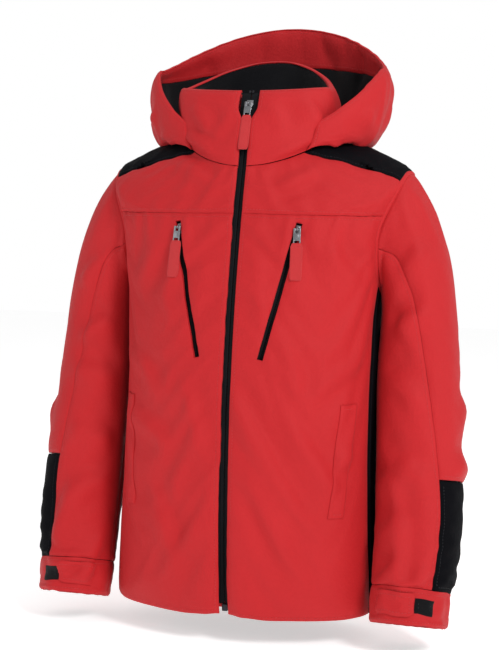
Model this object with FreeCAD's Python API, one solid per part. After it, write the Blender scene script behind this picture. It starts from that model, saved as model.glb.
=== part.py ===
import FreeCAD, Part
import math
import os
from collections import namedtuple
from FreeCAD import Vector

# A padded ski jacket for a child of about 140 cm, standing as it does on a body: a shell of sewn
# panels over a lining, a stand-up collar, an open hood, two sleeves with adjustable cuffs, a full
# front zip, two slanted chest-pocket zips and two hand pockets.
#
# Millimetres. +Z is up, the front faces -Y, and the wearer's left arm is on +X.
# The origin is the middle of the neck opening, level with the high point of the shoulders.

# ------------------------------------------------------------------ cloth and seams
SHELL = 5.0             # outer panel with the filling quilted behind it
SEAM = 0.6              # width of the groove that a sewn seam leaves between two panels
LAYER_GAP = 0.3         # air between two layers that lie on each other
LINING = 1.3            # body, sleeve and hood lining
LINING_DEPTH = SHELL + 7.0      # body lining, below the outer face
SLEEVE_LINING_DEPTH = SHELL + 3.6
SLEEVE_LINING_TOP_ROW = 0.7   # it starts just inside the armhole
COLLAR_WALL = 5.0       # padded collar
FLEECE = 2.5            # pile that faces the collar's inside
HOOD_WALL = 4.0
HOOD_LINING_GAP = 2.6

# ------------------------------------------------------------------ body
FRONT_RADIUS = 1300.0   # the front edge, seen from the side, is one long arc
FRONT_MID_Y = -108.0    # where that arc comes furthest forward
FRONT_MID_Z = -387.0
HEM_HALF = 173.0        # half widths
WAIST_HALF = 161.0
ARMPIT_HALF = 166.0
CHEST_HALF = 184.0
SHOULDER_HALF = 203.0
SHOULDER_TOP_HALF = 154.0
NECK_HALF = 98.0
HEM_Z = -602.0
WAIST_Z = -387.0
HIP_Z = WAIST_Z + (HEM_Z - WAIST_Z) * 103 / 215
CHEST_SEAM_Z = -101.0
BACK_SEAM_Z = -110.0
SIDE_SEAM_FRONT = 81.0  # degrees round the body, from the middle of the front
SIDE_SEAM_BACK = 112.0
SIDE_PANEL_TOP_Z = -165.0
SHOULDER_FRONT_NECK = 48.0    # shoulder panel's front edge at the neck, degrees
SHOULDER_FRONT_ARM = 72.0     # and at the armhole
SHOULDER_BACK_NECK = 134.0
SHOULDER_BACK_ARM = 108.0
HEM_FACING_HEIGHT = 28.0

# ------------------------------------------------------------------ collar and hood
COLLAR_FRONT_Z = 59.0
COLLAR_HALF = 101.0
COLLAR_BACK_Z = 112.0
COLLAR_OPEN_HALF = 12.0   # the collar's two halves stand this far apart above the slider
HOOD_HALF = 160.0
HOOD_NOTCH = (92.0, -38.0, 12.0)   # where the hood's front edge meets the neck
HOOD_BACK_Z = 158.0
HOOD_SEAM_BACK_Y = 93.4
HOOD_SEAM_BACK_Z = 13.0
HOOD_CENTRE_ANGLE = 38.0  # half angle of the middle panel
HOOD_FACING_ROW = 3.05    # the coloured facing runs from this row to the rim

# ------------------------------------------------------------------ sleeves
ARMHOLE_Y = 38.0
ARMHOLE_Z = -122.0
ARMHOLE_HALF_HEIGHT = 78.0
ARMHOLE_HALF_DEPTH = 60.0
ARMHOLE_GAP = 0.9
SLEEVE_SEAM = {"left": -52.0, "right": -66.0}   # front seam at the forearm, degrees
SLEEVE_BACK_SEAM = 78.0
FOREARM_TOP_ROW = 5.27
CUFF_ROW = 7.0
CUFF_ROWS = (7.0, 8.0)
CUFF_PATCH = 1.1          # thickness of the loop patch
CUFF_TAB = 1.7
TAB_SEWN_ANGLE = -138.0   # the cuff tab's sewn end, and its free end
TAB_FREE_ANGLE = {"left": -76.0, "right": -84.0}
PATCH_ANGLE = 30.0        # the patch shows this far past the tab

# ------------------------------------------------------------------ zips
ZIP_EDGE = 4.8            # half width of the tape that shows between the front edges
TAPE_HALF = 12.0
TAPE = 1.0
MAIN_TAPE_DEPTH = SHELL + 0.5
CHEST_TAPE_DEPTH = SHELL + 1.3      # the front curves across this tape, so it lies deeper
COIL_HALF = 2.6
COIL = 2.0
TAPE_SPLIT = 1.4          # slit between the two tapes, for the slider's post
CHEST_ZIP_EDGE = 3.6
CHEST_TAPE_HALF = 9.0
CHEST_ZIP_TOP = (79.0, -112.0)      # x and z of its ends
CHEST_ZIP_BOTTOM = (41.0, -281.0)
MAIN_SLIDER_Z = 38.0
HEM_STOP = 10.0
SLIDER_LENGTH = 14.0
SLIDER_PLATE = 1.5
SLIDER_GAP = 0.3
PULLER_LENGTH = 20.0
PULLER_THICKNESS = 2.2
PIN_RADIUS = 0.9
MAIN_PULL_TAB = (13.0, 44.0)        # width and length
CHEST_PULL_TAB = (15.0, 44.0)
TAB_THICKNESS = 1.8

# ------------------------------------------------------------------ pockets, flap and loop
WELT_TOP = (150.0, -331.0)
WELT_BOTTOM = (143.0, -470.0)
WELT_WIDTH = 16.0
WELT = 2.0
POCKET_BAG = 3.0
STORM_FLAP = 2.2
STORM_FLAP_HALF = 24.0
LOOP_RADIUS = 26.0
LOOP_STRAP = (8.0, 1.6)             # width and thickness
LOOP_STAND_OFF = 7.0
LOOP_END = 8.0

OUT = "parts"

Ring = namedtuple("Ring", "half side_y back_y front_z side_z back_z square")
Cuff = namedtuple("Cuff", "x y z half_x half_y tilt pitch")

BODY = [
    Ring(HEM_HALF, 8, 102, HEM_Z, HEM_Z + 2, HEM_Z + 2, 0.86),
    Ring((HEM_HALF + WAIST_HALF) / 2, 6, 103, HIP_Z, HIP_Z, HIP_Z, 0.86),
    Ring(WAIST_HALF, 8, 103, WAIST_Z, WAIST_Z, WAIST_Z, 0.86),
    Ring(WAIST_HALF - 1, 14, 112, -290, -290, -290, 0.86),
    Ring(ARMPIT_HALF, 24, 122, -200, -200, -200, 0.86),
    Ring(CHEST_HALF, 34, 124, -140, -125, -135, 0.88),
    Ring(SHOULDER_HALF, 44, 116, -98, -51, -76, 0.92),
    Ring(SHOULDER_TOP_HALF, 38, 106, -66, -16, -24, 0.96),
    Ring(NECK_HALF, 26, 92, -42, 2, 12, 1.0),
]
NECK_ROW = len(BODY) - 1

COLLAR = [
    BODY[NECK_ROW],
    Ring(NECK_HALF + 5, 20, 104, 10, 33, 64, 1.0),
    Ring(COLLAR_HALF, 10, 106, COLLAR_FRONT_Z, 66, COLLAR_BACK_Z, 1.0),
]

HOOD = [
    Ring(111, 26, HOOD_SEAM_BACK_Y, None, 5, HOOD_SEAM_BACK_Z, 1.0),
    Ring(142, 44, 148, None, -2, 4, 1.0),
    Ring(HOOD_HALF - 2, 58, 182, None, 38, 50, 1.0),
    Ring(HOOD_HALF, 62, 192, None, 78, 108, 1.0),
    Ring(HOOD_HALF - 9, 60, 176, None, 92, HOOD_BACK_Z, 1.0),
]

SLEEVE = [
    None,                                        # the armhole itself
    Cuff(SHOULDER_HALF - 7, 38, -140, 64, 60, 63, 0),
    Cuff(SHOULDER_HALF + 6, 37, -178, 54, 58, 44, 0),
    Cuff(SHOULDER_HALF + 13, 34, -228, 49, 57, 24, 3),
    Cuff(SHOULDER_HALF + 17, 27, -300, 50, 56, 9, 7),
    Cuff(SHOULDER_HALF + 24, 11, -400, 52, 55, 3, 11),
    Cuff(SHOULDER_HALF + 26, -8, -500, 52, 53, 1, 14),
    Cuff(SHOULDER_HALF + 23, -24, -563, 49, 50, 0, 16),
    Cuff(SHOULDER_HALF + 21, -36, -608, 46, 47, 0, 16),
]


# ------------------------------------------------------------------ curves
def front_y(z):
    """The front edge's arc."""
    rise = z - FRONT_MID_Z
    return FRONT_MID_Y + FRONT_RADIUS - math.sqrt(FRONT_RADIUS ** 2 - rise ** 2)


def smooth(values, row):
    """A smooth curve through evenly spaced values."""
    last = len(values) - 1
    k = min(int(max(row, 0)), last - 1)
    t = row - k
    p1, p2 = values[k], values[k + 1]
    p0 = values[k - 1] if k else p1 * 2 - p2
    p3 = values[k + 2] if k + 2 <= last else p2 * 2 - p1
    return (p1 * 2 + (p2 - p0) * t + (p0 * 2 - p1 * 5 + p2 * 4 - p3) * t ** 2
            + (p1 * 3 - p0 - p2 * 3 + p3) * t ** 3) * 0.5


def squared(value, power):
    return math.copysign(abs(value) ** power, value)


def ring_point(half, front_y_, side_y, back_y, front_z, side_z, back_z, square, degrees):
    """A point of a level ring: 0 degrees is the front, 90 the wearer's left."""
    angle = math.radians(degrees)
    across = squared(math.sin(angle), square)
    along = squared(math.cos(angle), square)
    lift = abs(along) ** 1.5
    if along >= 0:
        return Vector(half * across, side_y + (front_y_ - side_y) * along,
                      side_z + (front_z - side_z) * lift)
    return Vector(half * across, side_y - (back_y - side_y) * along,
                  side_z + (back_z - side_z) * lift)


def rings_point(rings, degrees, row):
    r = Ring(*[smooth([ring[k] for ring in rings], row) for k in range(7)])
    return ring_point(r.half, front_y(r.front_z), *r[1:], degrees)


def body_point(degrees, row):
    return rings_point(BODY, degrees, row)


def collar_point(degrees, row):
    return rings_point(COLLAR, degrees, row)


def hood_ring(row):
    """The hood's ring at a row, which runs through both notches, and its end angle."""
    half, side_y, back_y, side_z, back_z = [
        smooth([ring[k] for ring in HOOD], row) for k in (0, 1, 2, 4, 5)]
    notch_x, notch_y, notch_z = HOOD_NOTCH
    end = math.asin(notch_x / half)
    front_y_ = side_y + (notch_y - side_y) / math.cos(end)
    front_z = side_z + (notch_z - side_z) / math.cos(end) ** 1.5
    return (half, front_y_, side_y, back_y, front_z, side_z, back_z, 1.0), math.degrees(end)


def hood_point(share, row):
    """Share 0 is near the right notch, 0.5 the middle of the back, 1 near the left notch."""
    ring, end = hood_ring(row)
    sweep = 360 - 2 * end
    return ring_point(*ring, -end - sweep * share)


def root(function, low, high, steps=36):
    """Where a rising or falling function crosses zero."""
    rising = function(high) > function(low)
    for _ in range(steps):
        middle = (low + high) / 2
        if (function(middle) > 0) == rising:
            high = middle
        else:
            low = middle
    return (low + high) / 2


def row_at(degrees, z):
    """The body row that passes height z at this angle."""
    return root(lambda row: body_point(degrees, row).z - z, 0, NECK_ROW)


def angle_at(x, row, point=body_point):
    """The angle on the front at which a ring is x from the middle."""
    return root(lambda degrees: point(degrees, row).x - x, 0, 80)


def front_place(x, z):
    """The point and the outward normal of the front at x and z."""
    row = NECK_ROW / 2
    for _ in range(6):
        degrees = angle_at(x, row)
        row = row_at(degrees, z)
    step = 0.5
    across = body_point(degrees + step, row) - body_point(degrees - step, row)
    up = body_point(degrees, row + step / 10) - body_point(degrees, row - step / 10)
    return body_point(degrees, row), across.cross(up).normalize()


def armhole_loop():
    """Points of the armhole on the body's outer face, less the seam, by angle."""
    loop = []
    for k in range(36):
        angle = math.radians(10 * k)
        y = ARMHOLE_Y + (ARMHOLE_HALF_DEPTH - ARMHOLE_GAP) * math.sin(angle)
        z = ARMHOLE_Z + (ARMHOLE_HALF_HEIGHT - ARMHOLE_GAP) * math.cos(angle)
        degrees = root(lambda d: body_point(d, row_at(d, z)).y - y, 25, 155, 24)
        loop.append(Vector(body_point(degrees, row_at(degrees, z)).x, y, z))
    return loop


LOOP = armhole_loop()
LOOP_WRAPPED = LOOP[-2:] + LOOP + LOOP[:3]


def sleeve_ring_point(k, degrees):
    if k == 0:
        return smooth(LOOP_WRAPPED, (degrees % 360) / 10 + 2)
    c = SLEEVE[k]
    tilt, pitch, angle = (math.radians(v) for v in (c.tilt, c.pitch, degrees))
    out = Vector(math.cos(tilt), 0, math.sin(tilt))
    back = Vector(0, math.cos(pitch), -math.sin(pitch))
    return Vector(c.x, c.y, c.z) + out * (c.half_x * math.cos(angle)) + back * (
        c.half_y * math.sin(angle))


def sleeve_point(degrees, row):
    """The left sleeve: 0 degrees faces out, 90 back, 180 the body, -90 the front."""
    return smooth([sleeve_ring_point(k, degrees) for k in range(len(SLEEVE))], row)


# ------------------------------------------------------------------ solids
def borders(surface):
    u0, u1, v0, v1 = surface.bounds()
    return [surface.uIso(u0), surface.uIso(u1), surface.vIso(v0), surface.vIso(v1)]


def panel(point, top, bottom, columns, rows, outward=1):
    """The closed solid between two depths under a patch: point(a, b) runs over 0 to 1."""
    step = 1e-3
    skins = []
    for depth in (top, bottom):
        grid = []
        for i in range(columns + 1):
            line = []
            for j in range(rows + 1):
                a, b = i / columns, j / rows
                across = point(a + step, b) - point(a - step, b)
                up = point(a, b + step) - point(a, b - step)
                normal = across.cross(up).normalize() * outward
                line.append(point(a, b) - normal * depth)
            grid.append(line)
        surface = Part.BSplineSurface()
        surface.interpolate(grid)
        skins.append(surface)
    faces = [skin.toShape() for skin in skins]
    for one, other in zip(*[borders(skin) for skin in skins]):
        faces.append(Part.makeRuledSurface(one.toShape(), other.toShape(), 1))
    shell = Part.makeShell(faces)
    shell.sewShape()
    solid = Part.makeSolid(shell)
    if solid.Volume < 0:
        solid.reverse()
    return solid


def patch(surface, left, right, low, high):
    """A piece of a surface between two angles, given by b, and two rows, given by angle."""
    def point(a, b):
        start, end = left(b), right(b)
        degrees = start + (end - start) * a
        return surface(degrees, low(degrees) + (high(degrees) - low(degrees)) * b)
    return point


def always(value):
    return lambda _: value


def between(start, end):
    return lambda b: start + (end - start) * b


def mirrored(shape):
    return shape.mirror(Vector(0, 0, 0), Vector(1, 0, 0))


def placed(shape, origin, across, outward, up):
    """Moves a shape from local axes (x across, y inward, z up) to its place."""
    inward = outward * -1
    matrix = FreeCAD.Matrix(
        across.x, inward.x, up.x, origin.x,
        across.y, inward.y, up.y, origin.y,
        across.z, inward.z, up.z, origin.z,
        0, 0, 0, 1)
    return shape.transformed(matrix)


def box(x0, x1, depth0, depth1, z0, z1):
    return Part.makeBox(x1 - x0, depth1 - depth0, z1 - z0, Vector(x0, depth0, z0))


def one_solid(shape):
    """The only solid of a cut's result."""
    solids = sorted(shape.Solids, key=lambda s: s.Volume)
    return solids[-1]


class ZipLine:
    """A zip's arc: blocks are placed by x across it, s down it and depth under the face."""

    def __init__(self, top, bottom, outward, bulge):
        chord = top - bottom
        self.length = chord.Length
        up = Vector(chord).normalize()
        outward = (outward - up * outward.dot(up)).normalize()
        self.radius = self.length ** 2 / (8 * bulge) + bulge / 2
        self.centre = (top + bottom) * 0.5 + outward * (bulge - self.radius)
        self.across = (outward * -1).cross(up).normalize()
        half_turn = math.asin(self.length / 2 / self.radius)
        self.turn = 2 * half_turn
        self.arc = self.radius * self.turn
        self.start = outward * math.cos(half_turn) + up * math.sin(half_turn)

    def frame(self, s):
        """Point on the face, outward and up at a distance s down the zip."""
        rotation = FreeCAD.Rotation(self.across, math.degrees(s / self.radius))
        outward = rotation.multVec(self.start)
        return self.centre + outward * self.radius, outward, outward.cross(self.across)

    def block(self, x0, x1, s0, s1, depth0, depth1):
        point, outward, up = self.frame(s0)
        corners = [point + self.across * x - outward * d
                   for x, d in ((x0, depth0), (x1, depth0), (x1, depth1), (x0, depth1))]
        face = Part.Face(Part.makePolygon(corners + corners[:1]))
        turn = math.degrees((s1 - s0) / self.radius)
        return face.revolve(self.centre, self.across, turn)


def main_zip_line():
    top = Vector(0, front_y(COLLAR_FRONT_Z), COLLAR_FRONT_Z)
    bottom = Vector(0, front_y(HEM_Z), HEM_Z)
    half = (top - bottom).Length / 2
    bulge = FRONT_RADIUS - math.sqrt(FRONT_RADIUS ** 2 - half ** 2)
    return ZipLine(top, bottom, Vector(0, -1, 0), bulge)


def chest_zip_line():
    (top, top_out), (low, low_out) = front_place(*CHEST_ZIP_TOP), front_place(*CHEST_ZIP_BOTTOM)
    middle, middle_out = front_place((CHEST_ZIP_TOP[0] + CHEST_ZIP_BOTTOM[0]) / 2,
                                     (CHEST_ZIP_TOP[1] + CHEST_ZIP_BOTTOM[1]) / 2)
    outward = (top_out + low_out + middle_out).normalize()
    return ZipLine(top, low, outward, (middle - (top + low) * 0.5).dot(outward))


MAIN_ZIP = main_zip_line()
CHEST_ZIP = chest_zip_line()


def armhole_cutter(grow=0.0):
    ellipse = Part.Ellipse(Vector(0, 0, 0), ARMHOLE_HALF_HEIGHT + grow, ARMHOLE_HALF_DEPTH + grow)
    drum = Part.Face(Part.Wire(ellipse.toShape())).extrude(Vector(0, 0, SHOULDER_HALF))
    matrix = FreeCAD.Matrix(0, 0, 1, NECK_HALF + 12, 0, -1, 0, ARMHOLE_Y, 1, 0, 0, ARMHOLE_Z,
                            0, 0, 0, 1)
    return drum.transformed(matrix)


ARMHOLE = armhole_cutter()


# ------------------------------------------------------------------ body
def groove(half_width):
    """The angle that half a seam takes on a ring."""
    return math.degrees(SEAM / 2 / half_width)


def front_edge(low, high, edge=ZIP_EDGE):
    """The angle of the front edge beside the zip, by b."""
    return lambda b: angle_at(edge, low + (high - low) * b)


def body_panels():
    side = groove(WAIST_HALF)
    neck_gap = 0.5 * SEAM / 55
    chest_low = lambda d: row_at(d, CHEST_SEAM_Z - SEAM / 2)
    chest_high = lambda d: row_at(d, CHEST_SEAM_Z + SEAM / 2)
    back_low = lambda d: row_at(d, BACK_SEAM_Z - SEAM / 2)
    back_high = lambda d: row_at(d, BACK_SEAM_Z + SEAM / 2)
    neck = always(NECK_ROW - neck_gap)
    chest_row = row_at(0, CHEST_SEAM_Z)
    shoulder_front = between(SHOULDER_FRONT_ARM, SHOULDER_FRONT_NECK)
    shoulder_back = between(SHOULDER_BACK_ARM, SHOULDER_BACK_NECK)
    shoulder_gap = groove(SHOULDER_TOP_HALF)
    shapes = {}

    front = patch(body_point, front_edge(0, chest_row), always(SIDE_SEAM_FRONT - side),
                  always(0), chest_low)
    shapes["front_panel_left"] = panel(front, 0, SHELL, 14, 18)
    yoke = patch(body_point, front_edge(chest_row, NECK_ROW),
                 lambda b: shoulder_front(b) - shoulder_gap, chest_high, neck)
    shapes["front_yoke_left"] = panel(yoke, 0, SHELL, 12, 10)
    shoulder_low = always(row_at(90, CHEST_SEAM_Z + 30))
    shoulder = patch(body_point, lambda b: shoulder_front(b) + shoulder_gap,
                     lambda b: shoulder_back(b) - shoulder_gap, shoulder_low, neck)
    shapes["shoulder_panel_left"] = panel(shoulder, 0, SHELL, 10, 10)
    side_panel = patch(body_point, always(SIDE_SEAM_FRONT + side), always(SIDE_SEAM_BACK - side),
                       always(0), lambda d: row_at(d, SIDE_PANEL_TOP_Z))
    shapes["side_panel_left"] = panel(side_panel, 0, SHELL, 6, 16)
    for name in list(shapes):
        cut = one_solid(shapes[name].cut(ARMHOLE))
        shapes[name] = cut

    slot = CHEST_ZIP.block(-CHEST_ZIP_EDGE, CHEST_ZIP_EDGE, 0, CHEST_ZIP.arc, -SHELL, 2 * SHELL)
    shapes["front_panel_left"] = one_solid(shapes["front_panel_left"].cut(slot))
    for name in list(shapes):
        shapes[name.replace("left", "right")] = mirrored(shapes[name])

    both = ARMHOLE.fuse(mirrored(ARMHOLE))
    back = patch(body_point, always(SIDE_SEAM_BACK + side), always(360 - SIDE_SEAM_BACK - side),
                 always(0), back_low)
    shapes["back_panel"] = one_solid(panel(back, 0, SHELL, 20, 16).cut(both))
    back_yoke = patch(body_point, lambda b: shoulder_back(b) + shoulder_gap,
                      lambda b: 360 - shoulder_back(b) - shoulder_gap, back_high, neck)
    shapes["back_yoke"] = one_solid(panel(back_yoke, 0, SHELL, 20, 10).cut(both))

    facing_top = row_at(90, HEM_Z + HEM_FACING_HEIGHT)
    flap_edge = STORM_FLAP_HALF + 4
    edge = angle_at(flap_edge, 0)
    facing = patch(body_point, always(edge), always(360 - edge), always(0.01), always(facing_top))
    shapes["hem_facing"] = panel(facing, SHELL + LAYER_GAP, LINING_DEPTH - LAYER_GAP, 40, 3)
    lining = patch(body_point, lambda b: angle_at(flap_edge, NECK_ROW * b),
                   lambda b: 360 - angle_at(flap_edge, NECK_ROW * b),
                   always(facing_top * 0.4), always(NECK_ROW - 0.12))
    lining_solid = panel(lining, LINING_DEPTH, LINING_DEPTH + LINING, 40, 22)
    shapes["body_lining"] = one_solid(lining_solid.cut(both))
    return shapes


def collar():
    last = len(COLLAR) - 1
    start = 0.5 * SEAM / 55

    def front(b):
        z = -42 + (COLLAR_FRONT_Z + 42) * b
        spread = min(max((z - 14) / 20, 0), 1)
        ease = spread * spread * (3 - 2 * spread)
        edge = ZIP_EDGE + (COLLAR_OPEN_HALF - ZIP_EDGE) * ease
        return angle_at(edge, last * b, collar_point)

    back = groove(NECK_HALF)
    half = patch(collar_point, front, always(180 - back), always(start), always(last))
    left = panel(half, 0, COLLAR_WALL, 18, 10)
    pile = patch(collar_point, always(16), always(344), always(start), always(last - 0.06))
    lining = panel(pile, COLLAR_WALL + LAYER_GAP, COLLAR_WALL + LAYER_GAP + FLEECE, 30, 8)
    return {"collar_left": left, "collar_right": mirrored(left), "collar_lining": lining}


def hood():
    rim = len(HOOD) - 1
    tip = 0.035         # the ends stop short of the notch, where every row meets
    span = 1 - 2 * tip
    centre = HOOD_CENTRE_ANGLE / 300
    gap = SEAM / 2 / 450
    lining_top, lining_base = HOOD_WALL + HOOD_LINING_GAP, HOOD_WALL + HOOD_LINING_GAP + LINING

    def piece(start, end, low, high, depths, columns, rows):
        def point(a, b):
            return hood_point(start + (end - start) * a, low + (high - low) * b)
        return panel(point, *depths, columns, rows, -1)

    wall = (0, HOOD_WALL)
    side = piece(0.5 + centre + gap, tip + span, 0, rim, wall, 16, 14)
    middle = piece(0.5 - centre, 0.5 + centre, 0, rim, wall, 10, 14)
    lining = piece(tip, tip + span, 0.05, HOOD_FACING_ROW - 0.03, (lining_top, lining_base), 56, 18)
    facing = piece(tip, tip + span, HOOD_FACING_ROW + 0.03, rim - 0.02,
                   (lining_top, lining_base), 48, 6)
    return {"hood_side_right": mirrored(side), "hood_side_left": side,
            "hood_centre_panel": middle, "hood_lining": lining, "hood_facing": facing}


# ------------------------------------------------------------------ sleeves
def sleeve(side):
    """One sleeve's pieces, drawn on the left: the right ones are mirrored at the end."""
    seam_at_cuff = SLEEVE_SEAM[side]
    seam_at_head = -104.0
    gap = groove(SLEEVE[4].half_x)
    rows_gap = SEAM / 2 / 60

    def front_seam(row):
        share = min(max(row / 5.5, 0), 1)
        return seam_at_head + (seam_at_cuff - seam_at_head) * share ** 1.3

    def piece(left, right, low, high, depths, columns, rows):
        def point(a, b):
            row = low + (high - low) * b
            start, end = left(row), right(row)
            return sleeve_point(start + (end - start) * a, row)
        return panel(point, *depths, columns, rows, -1)

    wall = (0, SHELL)
    back_seam = always(SLEEVE_BACK_SEAM)
    under = -180
    pieces = {
        "sleeve_front": piece(always(under + gap), lambda r: front_seam(r) - gap, 0,
                              CUFF_ROW - rows_gap, wall, 12, 26),
        "sleeve_outer": piece(lambda r: front_seam(r) + gap, lambda r: back_seam(r) - gap, 0,
                              FOREARM_TOP_ROW - rows_gap, wall, 16, 22),
        "sleeve_back": piece(lambda r: back_seam(r) + gap, always(180 - gap), 0,
                             CUFF_ROW - rows_gap, wall, 12, 26),
        "forearm_panel": piece(lambda r: front_seam(r) + gap, lambda r: back_seam(r) - gap,
                               FOREARM_TOP_ROW + rows_gap, CUFF_ROW - rows_gap, wall, 10, 6),
        "cuff": piece(always(under + gap), always(180 - gap), CUFF_ROWS[0] + rows_gap,
                      CUFF_ROWS[1], wall, 24, 3),
        "sleeve_lining": piece(always(under + gap), always(180 - gap), SLEEVE_LINING_TOP_ROW,
                               CUFF_ROWS[1] - 0.1,
                               (SLEEVE_LINING_DEPTH, SLEEVE_LINING_DEPTH + LINING), 24, 22),
    }
    free = TAB_FREE_ANGLE[side]
    tab_depths = (-LAYER_GAP - 0.2 - CUFF_TAB, -LAYER_GAP - 0.2)
    patch_depths = (-LAYER_GAP - CUFF_PATCH, -LAYER_GAP)
    pieces["cuff_tab"] = piece(always(TAB_SEWN_ANGLE), always(free), 7.1, 7.74, tab_depths, 10, 3)
    pieces["cuff_patch"] = piece(always(free + 1.2), always(free + PATCH_ANGLE), 7.24, 7.66,
                                 patch_depths, 6, 3)
    return {f"{name}_{side}": mirrored(shape) if side == "right" else shape
            for name, shape in pieces.items()}


# ------------------------------------------------------------------ zips
def zip_tapes(line, half, top, foot, depth):
    """Two tapes and two coils of one zip."""
    slit = TAPE_SPLIT / 2
    tapes, coils = [], []
    for side in (-1, 1):
        x = sorted((side * slit, side * half))
        tapes.append(line.block(*x, top, line.arc - foot, depth, depth + TAPE))
        x = sorted((side * slit, side * COIL_HALF))
        coil_top = depth + TAPE + 0.1
        coils.append(line.block(*x, top, line.arc - foot, coil_top, coil_top + COIL))
    return tapes, coils


def zip_slider(line, s, half, tape_top):
    """A slider's two plates and post."""
    point, outward, up = line.frame(s)
    back = tape_top + TAPE + 0.1 + COIL + SLIDER_GAP
    front = tape_top - SLIDER_GAP
    low, high = -SLIDER_LENGTH / 2, SLIDER_LENGTH / 2
    front_plate = box(-half, half, front - 2 * SLIDER_PLATE, front, low, high)
    back_plate = box(-half, half, back, back + SLIDER_PLATE, low, high)
    post = box(-0.35, 0.35, front - 0.5, back + 0.5, low + 3, high - 1)
    return point, outward, up, front_plate.fuse([back_plate, post])


PIVOT_DEPTH = -2.3        # the puller's pin, in front of the face
BAIL_HALF = 1.4
ARM_HALF = 4.6


def bail(reach):
    """An eye with the pin's hole, in axes centred on the pin, which reaches in to the plate."""
    body = box(-BAIL_HALF, BAIL_HALF, -2.2, reach, -2.6, 2.6)
    hole = Part.makeCylinder(PIN_RADIUS + 0.35, 4 * BAIL_HALF, Vector(-2 * BAIL_HALF, 0, 0),
                             Vector(1, 0, 0))
    return body.cut(hole)


def puller():
    """A flat pull with two arms on a pin, hanging from the pin."""
    half = PULLER_THICKNESS / 2
    plate = box(-ARM_HALF, ARM_HALF, -half, half, -PULLER_LENGTH, 1.5)
    notch = box(-BAIL_HALF - 0.6, BAIL_HALF + 0.6, -5, 5, -5.4, 5)
    window = box(-2.4, 2.4, -5, 5, -PULLER_LENGTH + 2.6, -PULLER_LENGTH + 6)
    pin = Part.makeCylinder(PIN_RADIUS, 2 * ARM_HALF - 1, Vector(-ARM_HALF + 0.5, 0, 0),
                            Vector(1, 0, 0))
    return plate.cut(notch).cut(window).fuse(pin)


def pull_tab(size):
    """A fabric tab that hangs from the puller's lower bar."""
    width, length = size
    half = TAB_THICKNESS / 2
    top = -PULLER_LENGTH
    return box(-width / 2, width / 2, -half, half, top - length, top)


def main_zip():
    stop = 5.0
    depth = MAIN_TAPE_DEPTH
    tapes, coils = zip_tapes(MAIN_ZIP, TAPE_HALF, stop + 0.4, HEM_STOP + 1.4, depth)
    end = MAIN_ZIP.arc
    stops = [MAIN_ZIP.block(-3.6, 3.6, end - HEM_STOP - 1, end - 2, depth - 1.5, depth + 3)]
    for side in (-1, 1):
        x = sorted((side * 0.8, side * 3.2))
        stops.append(MAIN_ZIP.block(*x, 1.5, stop, depth - 0.6, depth + 2.6))
    shapes = {"main_zip_tape_right": tapes[0], "main_zip_tape_left": tapes[1],
              "main_zip_coils": Part.makeCompound(coils),
              "main_zip_stops": Part.makeCompound(stops)}
    flap_top = depth + TAPE + COIL + SLIDER_PLATE + SLIDER_GAP + 0.8
    shapes["storm_flap"] = MAIN_ZIP.block(-STORM_FLAP_HALF, STORM_FLAP_HALF, 4, end - 4,
                                          flap_top, flap_top + STORM_FLAP)
    shapes.update(slider_set("main", MAIN_ZIP, main_slider_s(), ZIP_EDGE - 0.5, MAIN_PULL_TAB, 0,
                             depth))
    return shapes


def main_slider_s():
    """How far down the zip the slider stands at rest."""
    top = math.asin((COLLAR_FRONT_Z - FRONT_MID_Z) / FRONT_RADIUS)
    here = math.asin((MAIN_SLIDER_Z - FRONT_MID_Z) / FRONT_RADIUS)
    return FRONT_RADIUS * (top - here)


def slider_set(name, line, s, half, tab_size, lean, depth):
    """Slider, puller and tab. The pull hangs at an angle, lean, to the zip's line."""
    point, outward, up, plates = zip_slider(line, s, half, depth)
    shapes = {}
    turn = FreeCAD.Rotation(outward, lean)
    across_pull, up_pull = turn.multVec(line.across), turn.multVec(up)
    pin = point - outward * PIVOT_DEPTH
    reach = depth - PIVOT_DEPTH - SLIDER_GAP - SLIDER_PLATE - 0.2
    eye = placed(bail(reach), pin, across_pull, outward, up_pull)
    plates = placed(plates, point, line.across, outward, up)
    shapes[f"{name}_slider"] = plates.fuse(eye)
    shapes[f"{name}_puller"] = placed(puller(), pin, across_pull, outward, up_pull)
    shapes[f"{name}_pull_tab"] = placed(pull_tab(tab_size), pin, across_pull, outward, up_pull)
    return shapes


def chest_zips():
    tapes, coils = zip_tapes(CHEST_ZIP, CHEST_TAPE_HALF, -3, -3, CHEST_TAPE_DEPTH)
    both = [Part.makeCompound(group) for group in (tapes, coils)]
    _, outward, up = CHEST_ZIP.frame(0)
    plumb = Vector(0, 0, 1)
    plumb = (plumb - outward * plumb.dot(outward)).normalize()
    lean = math.degrees(up.getAngle(plumb))
    if up.cross(plumb).dot(outward) < 0:
        lean = -lean
    left = slider_set("chest", CHEST_ZIP, SLIDER_LENGTH / 2 + 2, CHEST_ZIP_EDGE - 0.5,
                      CHEST_PULL_TAB, lean, CHEST_TAPE_DEPTH)
    left = {f"{name}_left": shape for name, shape in left.items()}
    left["chest_zip_tapes_left"] = both[0]
    shapes = dict(left)
    for name, shape in left.items():
        shapes[name.replace("left", "right")] = mirrored(shape)
    shapes["chest_zip_coils"] = Part.makeCompound(both[1].Solids + mirrored(both[1]).Solids)
    return shapes


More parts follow.
